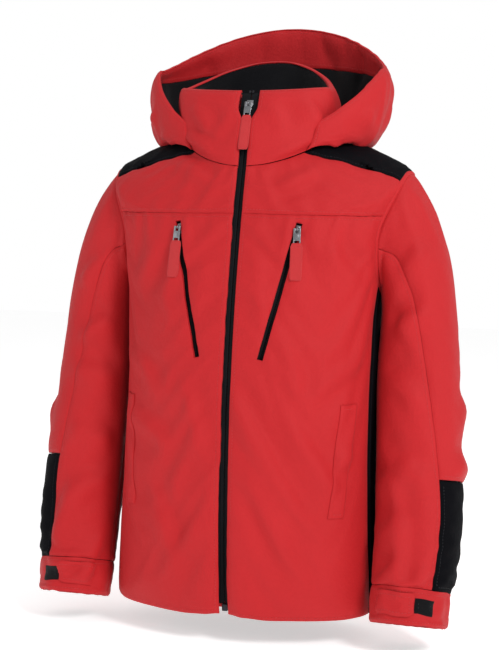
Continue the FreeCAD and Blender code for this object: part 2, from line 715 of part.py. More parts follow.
# ------------------------------------------------------------------ pockets and loop
def pockets():
    shapes = {}

    def strip(x_top, z_top, x_low, z_low, width):
        def point(a, b):
            x = x_low + (x_top - x_low) * b + width * a
            row = row_at(angle_at(x, 3), z_low + (z_top - z_low) * b)
            return body_point(angle_at(x, row), row)
        return point

    welt = strip(WELT_TOP[0] - WELT_WIDTH, WELT_TOP[1], WELT_BOTTOM[0] - WELT_WIDTH,
                 WELT_BOTTOM[1], WELT_WIDTH)
    shapes["hand_pocket_welt_left"] = panel(welt, -LAYER_GAP - WELT, -LAYER_GAP, 4, 8)
    bag_depths = (SHELL + LAYER_GAP, SHELL + LAYER_GAP + POCKET_BAG)
    chest_bag = strip(CHEST_ZIP_TOP[0] + CHEST_TAPE_HALF + 3, CHEST_ZIP_TOP[1] - 8,
                      CHEST_ZIP_BOTTOM[0] + CHEST_TAPE_HALF + 3, CHEST_ZIP_BOTTOM[1], 60)
    shapes["chest_pocket_bag_left"] = panel(chest_bag, *bag_depths, 6, 8)
    hand_bag = strip(52, WELT_TOP[1] - 4, 52, WELT_BOTTOM[1] - 80, 76)
    hand = panel(hand_bag, *bag_depths, 6, 8)
    for name in list(shapes):
        shapes[name.replace("left", "right")] = mirrored(shapes[name])
    shapes["hand_pocket_bags"] = Part.makeCompound([hand, mirrored(hand)])
    return shapes


def hang_loop():
    """A strap in a half ring, whose two ends are sewn to the neck's lining."""
    width, thickness = LOOP_STRAP
    wall = BODY[NECK_ROW].back_y - COLLAR_WALL - LAYER_GAP - FLEECE
    y = wall - LOOP_STAND_OFF - width
    z = BODY[NECK_ROW].back_z + 6
    corners = [Vector(LOOP_RADIUS, y, z), Vector(LOOP_RADIUS + thickness, y, z),
               Vector(LOOP_RADIUS + thickness, y + width, z), Vector(LOOP_RADIUS, y + width, z)]
    face = Part.Face(Part.makePolygon(corners + corners[:1]))
    strap = face.revolve(Vector(0, y, z), Vector(0, 1, 0), 180)
    for x in (LOOP_RADIUS, -LOOP_RADIUS - thickness):
        strap = strap.fuse(Part.makeBox(thickness, wall - y - 2.3, LOOP_END, Vector(x, y, z - 1)))
    return {"hang_loop": strap}


def build():
    shapes = {}
    for group in (body_panels(), collar(), hood(), sleeve("left"), sleeve("right"), main_zip(),
                  chest_zips(), pockets(), hang_loop()):
        shapes.update(group)
    return shapes


os.makedirs(OUT, exist_ok=True)
for node, shape in build().items():
    solids = shape.Solids
    print(f"{node:24s} solids {len(solids)} valid {shape.isValid()} "
          f"volume {sum(s.Volume for s in solids) / 1000:.1f} cm3")
    shape.exportStep(os.path.join(OUT, node + ".step"))
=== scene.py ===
"""A child's padded ski jacket, standing as on a body: panels, collar, hood, sleeves and zips."""
import math

import bmesh
import bpy
import numpy as np
from mathutils import Matrix, Vector


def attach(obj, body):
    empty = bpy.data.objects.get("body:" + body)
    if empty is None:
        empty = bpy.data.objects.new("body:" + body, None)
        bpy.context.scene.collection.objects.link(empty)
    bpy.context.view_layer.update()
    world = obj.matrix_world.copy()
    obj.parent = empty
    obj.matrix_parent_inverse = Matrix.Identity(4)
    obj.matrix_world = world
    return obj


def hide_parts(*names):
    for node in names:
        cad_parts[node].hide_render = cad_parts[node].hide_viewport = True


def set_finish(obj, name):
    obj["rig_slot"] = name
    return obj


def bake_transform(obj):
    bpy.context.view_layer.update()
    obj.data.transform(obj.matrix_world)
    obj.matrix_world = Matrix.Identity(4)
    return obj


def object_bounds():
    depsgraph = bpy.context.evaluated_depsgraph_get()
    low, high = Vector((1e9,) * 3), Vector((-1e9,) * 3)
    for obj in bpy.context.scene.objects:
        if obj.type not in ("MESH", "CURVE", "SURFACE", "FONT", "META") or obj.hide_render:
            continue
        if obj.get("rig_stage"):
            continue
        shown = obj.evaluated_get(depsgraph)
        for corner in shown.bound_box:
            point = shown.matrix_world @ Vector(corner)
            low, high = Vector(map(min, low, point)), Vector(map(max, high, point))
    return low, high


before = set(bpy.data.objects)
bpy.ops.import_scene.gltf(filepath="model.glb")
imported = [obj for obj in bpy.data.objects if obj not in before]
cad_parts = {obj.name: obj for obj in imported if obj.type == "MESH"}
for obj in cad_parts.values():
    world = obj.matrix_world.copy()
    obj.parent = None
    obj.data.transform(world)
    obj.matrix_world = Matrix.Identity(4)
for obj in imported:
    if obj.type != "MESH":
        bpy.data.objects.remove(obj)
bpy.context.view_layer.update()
SIDES = {"left": 1, "right": -1}

# ------------------------------------------------------------------ the garment's pattern
# Millimetres and degrees, turned into metres when a piece is made. +Z is up and -Y is the front.
MM = 0.001
FRONT_RADIUS, FRONT_MID_Y, FRONT_MID_Z = 1300.0, -108.0, -387.0
HEM_Z, CHEST_SEAM_Z, BACK_SEAM_Z = -602.0, -101.0, -110.0
SIDE_SEAM = (81.0, 112.0)            # front and back edge of the side panel, round the body
SHOULDER_ROWS = (6.0, 8.0)
SHOULDER_FRONT = (72.0, 48.0)        # edge of the shoulder panel at those rows
SHOULDER_BACK = (108.0, 134.0)
ARMHOLE_Y, ARMHOLE_Z, ARMHOLE_HIGH, ARMHOLE_DEEP = 38.0, -122.0, 78.0, 60.0
WALL = 4.2                           # padded panel
SEAM_SINK = 1.35                     # how far a seam pulls the cloth in
SLEEVE_SEAM_SINK = 1.1
SEAM_GAP = 0.16                      # what a seam leaves open on either side
CHEST_RADIUS, ARM_RADIUS, HOOD_RIM_HALF = 161.0, 52.0, 300.0
PUFF = 1.3                           # how far the filling lifts it between seams
STITCH_INSET = 5.0
ZIP_EDGE, COLLAR_OPEN_HALF, COLLAR_TOP_Z = 5.6, 12.0, 59.0

# half width, side y, back y, front z, side z, back z, squareness
BODY = [
    (173, 8, 102, -602, -600, -600, 0.86),
    (167, 6, 103, -490, -490, -490, 0.86),
    (161, 8, 103, -387, -387, -387, 0.86),
    (160, 14, 112, -290, -290, -290, 0.86),
    (166, 24, 122, -200, -200, -200, 0.86),
    (184, 34, 124, -140, -125, -135, 0.88),
    (203, 44, 116, -98, -51, -76, 0.92),
    (154, 38, 106, -66, -16, -24, 0.96),
    (98, 26, 92, -42, 2, 12, 1.0),
]
COLLAR = [BODY[-1], (103, 20, 104, 10, 33, 64, 1.0), (101, 10, 106, 59, 66, 112, 1.0)]
# half width, side y, back y, side z, back z
HOOD = [
    (110, 26, 93.4, 2, 13), (142, 44, 148, -4, 4), (159, 58, 182, 36, 52),
    (162, 62, 192, 80, 114), (153, 58, 178, 98, 170),
]
HOOD_NOTCH = ((75.5, -36.5, -21.0), (83.0, -27.0, 14.0))   # its foot and its top
HOOD_TIP = 0.006
# centre, half sizes across and front to back, tilt, pitch
SLEEVE = [
    (196, 38, -140, 64, 60, 63, 0), (209, 37, -178, 54, 58, 44, 0),
    (216, 34, -228, 49, 57, 24, 3), (220, 27, -300, 50, 56, 9, 7),
    (227, 11, -400, 52, 55, 3, 11), (229, -8, -500, 52, 53, 1, 14),
    (226, -24, -563, 49, 50, 0, 16), (224, -36, -608, 46, 47, 0, 16),
]
SLEEVE_SEAM = {"left": -52.0, "right": -66.0}
SLEEVE_SEAM_HEAD, SLEEVE_BACK_SEAM = -104.0, 78.0
FOREARM_ROW, CUFF_ROW, CUFF_END = 5.27, 7.0, 8.0
TAB_SEWN, TAB_FREE = -138.0, {"left": -76.0, "right": -84.0}


def smooth(table, row):
    """A smooth curve through the rows of a table, at any number of places."""
    table, row = np.asarray(table, float), np.asarray(row, float)
    last = len(table) - 1
    k = np.clip(np.floor(row).astype(int), 0, last - 1)
    t = (row - k)[..., None]
    ends = np.concatenate([[2 * table[0] - table[1]], table, [2 * table[-1] - table[-2]]])
    p0, p1, p2, p3 = ends[k], ends[k + 1], ends[k + 2], ends[k + 3]
    return 0.5 * (2 * p1 + (p2 - p0) * t + (2 * p0 - 5 * p1 + 4 * p2 - p3) * t ** 2
                  + (3 * p1 - p0 - 3 * p2 + p3) * t ** 3)


def front_y(z):
    return FRONT_MID_Y + FRONT_RADIUS - np.sqrt(FRONT_RADIUS ** 2 - (z - FRONT_MID_Z) ** 2)


def ring_point(half, y_front, y_side, y_back, z_front, z_side, z_back, square, degrees):
    angle = np.radians(degrees)
    across = np.sign(np.sin(angle)) * np.abs(np.sin(angle)) ** square
    along = np.sign(np.cos(angle)) * np.abs(np.cos(angle)) ** square
    ahead = along >= 0
    y_end, z_end = np.where(ahead, y_front, y_back), np.where(ahead, z_front, z_back)
    lift = np.abs(along) ** 1.5
    return np.stack([half * across, y_side + (y_end - y_side) * np.abs(along),
                     z_side + (z_end - z_side) * lift], -1)


def rings_point(table, degrees, row):
    degrees, row = np.broadcast_arrays(np.asarray(degrees, float), np.asarray(row, float))
    r = np.moveaxis(smooth(table, row), -1, 0)
    return ring_point(r[0], front_y(r[3]), *r[1:], degrees)


def body_point(degrees, row):
    return rings_point(BODY, degrees, row)


def collar_point(degrees, row):
    """The collar leans a little to the wearer's right as it rises."""
    point = rings_point(COLLAR, degrees, row)
    lean = -3.0 * np.abs(np.sin(np.radians(degrees))) * np.clip(row, 0, 2)
    return point + np.stack([lean, 0 * lean, 0 * lean], -1)


def hood_point(share, row):
    share, row = np.broadcast_arrays(np.asarray(share, float), np.asarray(row, float))
    half, y_side, y_back, z_side, z_back = np.moveaxis(smooth(HOOD, row), -1, 0)
    foot, top = np.array(HOOD_NOTCH)
    x, y, z = np.moveaxis(foot + (top - foot) * row[..., None] / (len(HOOD) - 1), -1, 0)
    end = np.arcsin(x / half)
    y_front = y_side + (y - y_side) / np.cos(end)
    z_front = z_side + (z - z_side) / np.cos(end) ** 1.5
    degrees = -np.degrees(end) - (360 - 2 * np.degrees(end)) * share
    return ring_point(half, y_front, y_side, y_back, z_front, z_side, z_back, 1.0, degrees)


def root(function, low, high, steps=30):
    """Where each of several rising or falling functions crosses zero."""
    low, high = (np.array(v, float) for v in np.broadcast_arrays(low, high))
    rising = function(high) > function(low)
    for _ in range(steps):
        middle = (low + high) / 2
        up = (function(middle) > 0) == rising
        high, low = np.where(up, middle, high), np.where(up, low, middle)
    return (low + high) / 2


def row_at(degrees, z):
    degrees, z = np.broadcast_arrays(np.asarray(degrees, float), np.asarray(z, float))
    return root(lambda row: body_point(degrees, row)[..., 2] - z, 0 * z, 0 * z + len(BODY) - 1)


def angle_at(x, row, surface=body_point):
    x, row = np.broadcast_arrays(np.asarray(x, float), np.asarray(row, float))
    return root(lambda d: surface(d, row)[..., 0] - x, 0 * x, 0 * x + 80)


def in_armhole(point):
    """Below 1 inside the armhole, 1 on its edge."""
    return (((point[..., 1] - ARMHOLE_Y) / ARMHOLE_DEEP) ** 2
            + ((point[..., 2] - ARMHOLE_Z) / ARMHOLE_HIGH) ** 2)


def armhole_angle(row, outer):
    """The angle at which a row meets the armhole, looking from outer towards its middle."""
    row = np.asarray(row, float)
    inside = in_armhole(body_point(92.0, row)) < 1
    found = root(lambda d: in_armhole(body_point(d, row)) - 1, 0 * row + outer, 0 * row + 92)
    return np.where(inside, found, 92.0)


def armhole_loop():
    angle = np.radians(np.arange(0, 360, 5.0))
    y = ARMHOLE_Y + (ARMHOLE_DEEP + 0.4) * np.sin(angle)
    z = ARMHOLE_Z + (ARMHOLE_HIGH + 0.4) * np.cos(angle)
    degrees = root(lambda d: body_point(d, row_at(d, z))[..., 1] - y, 0 * y + 25, 0 * y + 155)
    return np.stack([body_point(degrees, row_at(degrees, z))[..., 0], y, z], -1)


LOOP = armhole_loop()
LOOP_WRAPPED = np.concatenate([LOOP[-2:], LOOP, LOOP[:3]])


def sleeve_point(degrees, row):
    """The left sleeve: 0 degrees faces out, 90 back, 180 the body and -90 the front."""
    degrees, row = np.broadcast_arrays(np.asarray(degrees, float), np.asarray(row, float))
    angle = np.radians(degrees)
    rings = [smooth(LOOP_WRAPPED, np.mod(degrees, 360) / 5 + 2)]
    for x, y, z, across, deep, tilt, pitch in SLEEVE:
        tilt, pitch = math.radians(tilt), math.radians(pitch)
        out = np.array([math.cos(tilt), 0, math.sin(tilt)])
        back = np.array([0, math.cos(pitch), -math.sin(pitch)])
        rings.append(np.array([x, y, z]) + across * np.cos(angle)[..., None] * out
                     + deep * np.sin(angle)[..., None] * back)
    rings = np.array([2 * rings[0] - rings[1], *rings, 2 * rings[-1] - rings[-2]])
    k = np.clip(np.floor(row).astype(int), 0, len(SLEEVE) - 1)
    t = (row - k)[..., None]
    p0, p1, p2, p3 = [np.take_along_axis(rings, (k + n)[None, ..., None], 0)[0] for n in range(4)]
    return 0.5 * (2 * p1 + (p2 - p0) * t + (2 * p0 - 5 * p1 + 4 * p2 - p3) * t ** 2
                  + (3 * p1 - p0 - 3 * p2 + p3) * t ** 3)


# ------------------------------------------------------------------ cloth
def grid_object(name, points, closed=False):
    """A mesh of quads over a grid of points, in metres."""
    columns, rows = points.shape[:2]
    index = np.arange(columns * rows).reshape(columns, rows)
    if closed:
        index = np.concatenate([index, index[:1]])
    quads = np.stack([index[:-1, :-1], index[1:, :-1], index[1:, 1:], index[:-1, 1:]], -1)
    mesh = bpy.data.meshes.new(name)
    mesh.from_pydata(points.reshape(-1, 3) * MM, [], quads.reshape(-1, 4).tolist())
    piece = bpy.data.objects.new(name, mesh)
    bpy.context.scene.collection.objects.link(piece)
    return piece


def settle(name, base, pinned, missing, grow, stiffness, closed=False, frames=24, gravity=0.35):
    """Lets a grid of cloth, cut a little too large, settle on the form under it.

    Returns how far each point moved, in millimetres."""
    cloth = grid_object(name, base, closed)
    form = grid_object(name + "_form", base - grid_normals(base, closed) * FORM_GAP, closed)
    mesh = cloth.data
    if missing is not None:
        drop = [p.index for p in mesh.polygons if missing.reshape(-1)[list(p.vertices)].all()]
        for one in (cloth, form):
            bm = bmesh_of(one)
            bm.faces.ensure_lookup_table()
            for face in [bm.faces[i] for i in drop]:
                bm.faces.remove(face)
            bm.to_mesh(one.data)
            bm.free()
    group = cloth.vertex_groups.new(name="held")
    for weight in (1.0, 0.5, 0.15):
        chosen = np.nonzero(np.isclose(pinned.reshape(-1), weight))[0]
        if len(chosen):
            group.add(chosen.tolist(), weight, "REPLACE")
    form.modifiers.new("form", "COLLISION")
    form.collision.thickness_outer = 0.001
    form.collision.cloth_friction = 8
    modifier = cloth.modifiers.new("cloth", "CLOTH")
    cloth_settings = modifier.settings
    cloth_settings.quality = 6
    cloth_settings.mass = 0.25
    cloth_settings.tension_stiffness = cloth_settings.compression_stiffness = 12
    cloth_settings.shear_stiffness = 6
    cloth_settings.bending_stiffness = stiffness
    cloth_settings.vertex_group_mass = "held"
    cloth_settings.pin_stiffness = 1.0
    cloth_settings.shrink_min = cloth_settings.shrink_max = -grow
    cloth_settings.effector_weights.gravity = gravity
    modifier.collision_settings.distance_min = 0.001
    modifier.collision_settings.use_self_collision = False
    scene = bpy.context.scene
    for number in range(1, frames + 1):
        scene.frame_set(number)
    settled = cloth.evaluated_get(bpy.context.evaluated_depsgraph_get()).to_mesh()
    moved = np.zeros(len(settled.vertices) * 3)
    settled.vertices.foreach_get("co", moved)
    moved = moved.reshape(base.shape) / MM - base
    scene.frame_set(1)
    for one in (cloth, form):
        bpy.data.objects.remove(one)
    if missing is not None:
        moved[missing] = 0
    return capped(moved, MOST_MOVED)


FORM_GAP = 5.0
MOST_MOVED = 11.0


def bmesh_of(piece):
    bm = bmesh.new()
    bm.from_mesh(piece.data)
    return bm


def capped(moved, most):
    length = np.linalg.norm(moved, axis=-1, keepdims=True)
    return moved * most * np.tanh(length / most) / np.maximum(length, 1e-9)


def grid_normals(points, closed=False):
    """Unit normals of a grid, which point to the side that columns cross rows gives."""
    if closed:
        wide = np.concatenate([points[-1:], points, points[:1]])
        across = (wide[2:] - wide[:-2])
    else:
        across = np.gradient(points, axis=0)
    normal = np.cross(across, np.gradient(points, axis=1))
    return normal / np.maximum(np.linalg.norm(normal, axis=-1, keepdims=True), 1e-9)


class Field:
    """Displacements known on an even grid, read smoothly anywhere between."""

    def __init__(self, first, second, values):
        self.first, self.second, self.values = first, second, values

    def read(self, a, b):
        u = np.clip((a - self.first[0]) / (self.first[-1] - self.first[0]), 0, 1)
        v = np.clip((b - self.second[0]) / (self.second[-1] - self.second[0]), 0, 1)
        u, v = u * (len(self.first) - 1), v * (len(self.second) - 1)
        total = 0
        for du, wu in spline_weights(u, len(self.first)):
            for dv, wv in spline_weights(v, len(self.second)):
                total = total + (wu * wv)[..., None] * self.values[du, dv]
        return total


def spline_weights(place, count):
    """The four neighbours of each place on a line of values, with smooth weights."""
    k = np.clip(np.floor(place).astype(int), 0, count - 2)
    t = place - k
    weights = ((1 - t) ** 3 / 6, (3 * t ** 3 - 6 * t ** 2 + 4) / 6,
               (-3 * t ** 3 + 3 * t ** 2 + 3 * t + 1) / 6, t ** 3 / 6)
    return [(np.clip(k + n - 1, 0, count - 1), w) for n, w in enumerate(weights)]


# ------------------------------------------------------------------ panels
NEAR_EDGE = (0, 0.5, 1.1, 1.9, 2.9, 3.9, 4.6, 5.2, 5.9, 7.0, 9.0, 12.0)


def spaced(length, step):
    """Shares of a length, close together near both ends."""
    edge = [d for d in NEAR_EDGE if d < length * 0.42]
    middle = np.linspace(edge[-1], length - edge[-1], max(3, round((length - 2 * edge[-1]) / step)))
    marks = np.concatenate([edge[:-1], middle, (length - np.array(edge[:-1]))[::-1]])
    return marks / length


def lengths(points, axis):
    """Distance of each grid point from the first and from the last one along an axis."""
    steps = np.linalg.norm(np.diff(points, axis=axis), axis=-1)
    run = np.cumsum(np.insert(steps, 0, 0, axis=axis), axis=axis)
    return run, run.max(axis=axis, keepdims=True) - run


def puffed(points, normals, sinks, puff=PUFF):
    """Lifts a panel's middle and pulls its seams in. sinks are for left, right, low and high."""
    near = [*lengths(points, 0), *lengths(points, 1)]
    down, lift = 0, 1
    for distance, sink in zip(near, sinks):
        edge = sink * np.exp(-(distance / 2.3) ** 1.6)
        edge = edge + 0.16 * sink * np.exp(-((distance - STITCH_INSET) / 0.9) ** 2)
        down = np.maximum(down, edge)
        if sink:
            lift = lift * (1 - np.exp(-(distance / 11) ** 2))
    return points + normals * (puff * lift - down)[..., None]


def only(piece):
    """Selects one piece alone and makes it the active one."""
    bpy.ops.object.select_all(action="DESELECT")
    piece.select_set(True)
    bpy.context.view_layer.objects.active = piece


# ------------------------------------------------------------------ materials
def group_of(name, inputs, outputs, build):
    """A node group with its own sockets, made once."""
    tree = bpy.data.node_groups.new(name, "ShaderNodeTree")
    for title, kind, value in inputs:
        socket = tree.interface.new_socket(title, in_out="INPUT", socket_type=kind)
        if value is not None:
            socket.default_value = value
    for title, kind in outputs:
        tree.interface.new_socket(title, in_out="OUTPUT", socket_type=kind)
    build(tree, tree.nodes.new("NodeGroupInput"), tree.nodes.new("NodeGroupOutput"))
    return tree


def node(tree, kind, **values):
    made = tree.nodes.new(kind)
    for name, value in values.items():
        if name in made.inputs:
            made.inputs[name].default_value = value
        else:
            setattr(made, name, value)
    return made


def math_node(tree, operation, first, second=None):
    made = node(tree, "ShaderNodeMath", operation=operation)
    for socket, value in zip(made.inputs, (first, second)):
        if isinstance(value, (int, float)):
            socket.default_value = value
        elif value is not None:
            tree.links.new(value, socket)
    return made.outputs[0]


def build_weave(tree, source, result):
    """Two sets of threads across each other, in the cloth's own coordinates."""
    axes = node(tree, "ShaderNodeSeparateXYZ")
    tree.links.new(source.outputs["Vector"], axes.inputs[0])
    across = math_node(tree, "MULTIPLY", axes.outputs[0], source.outputs["Threads"])
    along = math_node(tree, "MULTIPLY", axes.outputs[1], source.outputs["Threads"])
    over = math_node(tree, "SINE", math_node(tree, "ADD", across, along))
    under = math_node(tree, "SINE", math_node(tree, "MULTIPLY", along, 2.0))
    total = math_node(tree, "ADD", over, math_node(tree, "MULTIPLY", under, 0.5))
    tree.links.new(total, result.inputs["Height"])


def build_mottle_and_shade(tree, source, result):
    """Random tone, partly dye, partly painted shade: darker where the same noise dents the cloth.
    """
    broad = node(tree, "ShaderNodeTexNoise", Scale=9.0, Detail=3.0)
    fine = node(tree, "ShaderNodeTexNoise", Scale=260.0, Detail=2.0)
    for texture in (broad, fine):
        tree.links.new(source.outputs["Vector"], texture.inputs["Vector"])
    both = math_node(tree, "ADD", math_node(tree, "MULTIPLY", broad.outputs["Fac"], 0.65),
                     math_node(tree, "MULTIPLY", fine.outputs["Fac"], 0.35))
    # painted shade: the dark colour goes where the height below is low, in the dents of the soft
    # bump
    mix = node(tree, "ShaderNodeMix", data_type="RGBA")
    tree.links.new(both, mix.inputs["Factor"])
    tree.links.new(source.outputs["Dark"], mix.inputs[6])
    tree.links.new(source.outputs["Light"], mix.inputs[7])
    tree.links.new(mix.outputs[2], result.inputs["Colour"])
    tree.links.new(both, result.inputs["Height"])


WEAVE = group_of("cloth_weave", [("Vector", "NodeSocketVector", None),
                                 ("Threads", "NodeSocketFloat", 5.0)],
                 [("Height", "NodeSocketFloat")], build_weave)
MOTTLE_AND_SHADE = group_of("uneven_dye_and_painted_shade", [("Vector", "NodeSocketVector", None),
                                 ("Light", "NodeSocketColor", None),
                                 ("Dark", "NodeSocketColor", None)],
                  [("Colour", "NodeSocketColor"), ("Height", "NodeSocketFloat")], build_mottle_and_shade)


RED_GLOSS, BLACK_GLOSS = 0.2, 0.05
WHITE = (1, 1, 1, 1)


def new_material(name):
    """A fresh material, with its node tree and its shader."""
    material = bpy.data.materials.new(name)
    material.use_nodes = True
    return material, material.node_tree, material.node_tree.nodes["Principled BSDF"]


def set_inputs(shader, values):
    for name, value in values.items():
        shader.inputs[name].default_value = value


def cloth_material(name, light, dark, rough=0.62, threads=7.5, weave=0.25, sheen=0.15, crease=0.3):
    """Woven cloth. threads is how closely they lie, in radians to a millimetre."""
    material, tree, shader = new_material(name)
    gloss = BLACK_GLOSS if sum(light) <= 0.1 else RED_GLOSS
    set_inputs(shader, {"Roughness": rough, "Sheen Weight": sheen, "Sheen Roughness": 0.5,
                        "Specular IOR Level": gloss})
    place = node(tree, "ShaderNodeTexCoord")
    pattern = node(tree, "ShaderNodeUVMap", uv_map="cloth")
    # the mottle's dark colour is partly painted shade: it lies in the dents of the soft bump below
    dye_and_shade = node(tree, "ShaderNodeGroup", node_tree=MOTTLE_AND_SHADE)
    dye_and_shade.inputs["Light"].default_value = (*light, 1)
    dye_and_shade.inputs["Dark"].default_value = (*dark, 1)
    tree.links.new(place.outputs["Object"], dye_and_shade.inputs["Vector"])
    tree.links.new(dye_and_shade.outputs["Colour"], shader.inputs["Base Color"])
    threads_of = node(tree, "ShaderNodeGroup", node_tree=WEAVE)
    threads_of.inputs["Threads"].default_value = threads
    tree.links.new(pattern.outputs["UV"], threads_of.inputs["Vector"])
    soft = node(tree, "ShaderNodeBump", Strength=crease, Distance=0.004)
    tree.links.new(dye_and_shade.outputs["Height"], soft.inputs["Height"])
    fine = node(tree, "ShaderNodeBump", Strength=weave, Distance=0.0002)
    tree.links.new(threads_of.outputs["Height"], fine.inputs["Height"])
    tree.links.new(soft.outputs["Normal"], fine.inputs["Normal"])
    tree.links.new(fine.outputs["Normal"], shader.inputs["Normal"])
    return material


def pile_material(name, light, dark):
    """Brushed fleece: short matted pile."""
    material = cloth_material(name, light, dark, rough=0.95, weave=0.1, sheen=0.15, crease=0.1)
    tree = material.node_tree
    shader = tree.nodes["Principled BSDF"]
    place = next(n for n in tree.nodes if n.type == "TEX_COORD")
    tuft = node(tree, "ShaderNodeTexNoise", Scale=700.0, Detail=4.0, Roughness=0.7)
    tree.links.new(place.outputs["Object"], tuft.inputs["Vector"])
    nap = node(tree, "ShaderNodeBump", Strength=0.8, Distance=0.0015)
    tree.links.new(tuft.outputs["Fac"], nap.inputs["Height"])
    tree.links.new(nap.outputs["Normal"], shader.inputs["Normal"])
    return material


def metal_material(name, colour, rough):
    material, tree, shader = new_material(name)
    set_inputs(shader, {"Metallic": 0.9, "Roughness": rough, "Base Color": (*colour, 1)})
    place = node(tree, "ShaderNodeTexCoord")
    grain = node(tree, "ShaderNodeTexNoise", Scale=900.0, Detail=3.0)
    tree.links.new(place.outputs["Object"], grain.inputs["Vector"])
    bump = node(tree, "ShaderNodeBump", Strength=0.2, Distance=0.0002)
    tree.links.new(grain.outputs["Fac"], bump.inputs["Height"])
    tree.links.new(bump.outputs["Normal"], shader.inputs["Normal"])
    return material


# each cloth's darker colour is painted shade in its dents as well as a darker dye
RED = cloth_material("shell_red", (0.52, 0.015, 0.019), (0.42, 0.010, 0.013), sheen=0.03)
BLACK = cloth_material("shell_black", (0.0030, 0.0030, 0.0044), (0.0016, 0.0016, 0.0026), rough=0.7,
                       sheen=0.0)
LINING_BLACK = cloth_material("lining_black", (0.007, 0.007, 0.008), (0.004, 0.004, 0.005),
                              rough=0.5, threads=12, weave=0.12, sheen=0.1)
FLEECE_BLACK = pile_material("fleece_black", (0.008, 0.008, 0.010), (0.003, 0.003, 0.004))
TAPE_BLACK = cloth_material("zip_tape", (0.010, 0.011, 0.013), (0.006, 0.007, 0.008),
                            rough=0.6, threads=6, weave=0.2, sheen=0.0, crease=0.0)
COIL_BLACK = cloth_material("zip_coil", (0.018, 0.018, 0.020), (0.010, 0.010, 0.012), rough=0.35,
                            weave=0.0, sheen=0.0, crease=0.0)
METAL = metal_material("slider_metal", (0.24, 0.245, 0.26), 0.36)
DARK_METAL = metal_material("stop_metal", (0.035, 0.035, 0.04), 0.5)
PULL_RED = cloth_material("pull_fabric", (0.56, 0.028, 0.032), (0.42, 0.016, 0.018), rough=0.6,
                          threads=5, weave=0.5, crease=0.1)
LOOP_TAPE = cloth_material("loop_tape", (0.009, 0.009, 0.010), (0.004, 0.004, 0.005), rough=0.9,
                           threads=4, weave=0.6, sheen=0.1, crease=0.2)
POCKET_CLOTH = cloth_material("pocket_cloth", (0.020, 0.020, 0.022), (0.012, 0.012, 0.014),
                              rough=0.8, threads=10)
THREAD_RED = cloth_material("thread_red", (0.52, 0.026, 0.030), (0.38, 0.014, 0.017), rough=0.5,
                            weave=0.0, crease=0.0)
THREAD_BLACK = cloth_material("thread_black", (0.016, 0.016, 0.020), (0.009, 0.009, 0.012),
                              rough=0.5, weave=0.0, crease=0.0)
FINISH = {"shell_red": RED, "shell_black": BLACK, "lining_black": LINING_BLACK,
          "fleece_black": FLEECE_BLACK, "zip_tape": TAPE_BLACK, "zip_coil": COIL_BLACK,
          "slider_metal": METAL, "pull_fabric": PULL_RED, "loop_tape": LOOP_TAPE,
          "pocket_cloth": POCKET_CLOTH}


# ------------------------------------------------------------------ making pieces
def title(name, kind):
    """A piece that stands for a CAD node of the same name says what kind it is."""
    return f"{name}_{kind}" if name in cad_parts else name


def mesh_piece(name, points, faces, material, slot, uv=None):
    """A closed smooth mesh in millimetres. uv gives each vertex's place on the cloth."""
    name = title(name, "cloth")
    mesh = bpy.data.meshes.new(name)
    mesh.from_pydata(np.asarray(points) * MM, [], np.asarray(faces).tolist())
    mesh.polygons.foreach_set("use_smooth", np.ones(len(mesh.polygons), bool))
    layer = mesh.uv_layers.new(name="cloth")
    if uv is not None:
        corner = np.zeros(len(mesh.loops), int)
        mesh.loops.foreach_get("vertex_index", corner)
        layer.data.foreach_set("uv", np.asarray(uv)[corner].reshape(-1))
    mesh.materials.append(material)
    piece = bpy.data.objects.new(name, mesh)
    bpy.context.scene.collection.objects.link(piece)
    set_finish(piece, slot)
    return piece


def grid_faces(columns, rows, closed=False):
    """Faces of a closed mesh made of an outer and an inner grid of the same size."""
    count = columns * rows
    index = np.arange(count).reshape(columns, rows)
    if closed:
        index = np.concatenate([index, index[:1]])
    quads = np.stack([index[:-1, :-1], index[1:, :-1], index[1:, 1:], index[:-1, 1:]], -1)
    quads = quads.reshape(-1, 4)
    if closed:
        rims = [index[:, 0], index[::-1, -1]]
    else:
        rims = [np.concatenate([index[:, 0], index[-1, 1:], index[-2::-1, -1],
                                index[0, -2::-1]])]
    sides = [np.stack([rim[1:], rim[:-1], rim[:-1] + count, rim[1:] + count], -1) for rim in rims]
    return np.concatenate([quads, quads[:, ::-1] + count, *sides])


def cloth_piece(name, outer, wall, slot, normals=None, closed=False, inner=None):
    """A closed piece of cloth between a grid and a wall's thickness under it."""
    normals = grid_normals(outer, closed) if normals is None else normals
    inner = outer - normals * wall if inner is None else inner
    across, along = lengths(outer, 0)[0], lengths(outer, 1)[0]
    uv = np.stack([across, along], -1).reshape(-1, 2)
    points = np.concatenate([outer.reshape(-1, 3), inner.reshape(-1, 3)])
    faces = grid_faces(*outer.shape[:2], closed)
    return mesh_piece(name, points, faces, FINISH[slot], slot, np.concatenate([uv, uv]))


def evenly(path, normals, pitch):
    """Points, directions and normals at even steps along a path."""
    steps = np.linalg.norm(np.diff(path, axis=0), axis=1)
    run = np.concatenate([[0], np.cumsum(steps)])
    marks = np.arange(pitch / 2, run[-1], pitch)
    at = lambda values, s: np.stack([np.interp(s, run, v) for v in values.T], -1)
    ahead = at(path, marks + 0.4) - at(path, marks - 0.4)
    ahead /= np.maximum(np.linalg.norm(ahead, axis=1, keepdims=True), 1e-9)
    return at(path, marks), ahead, at(normals, marks)


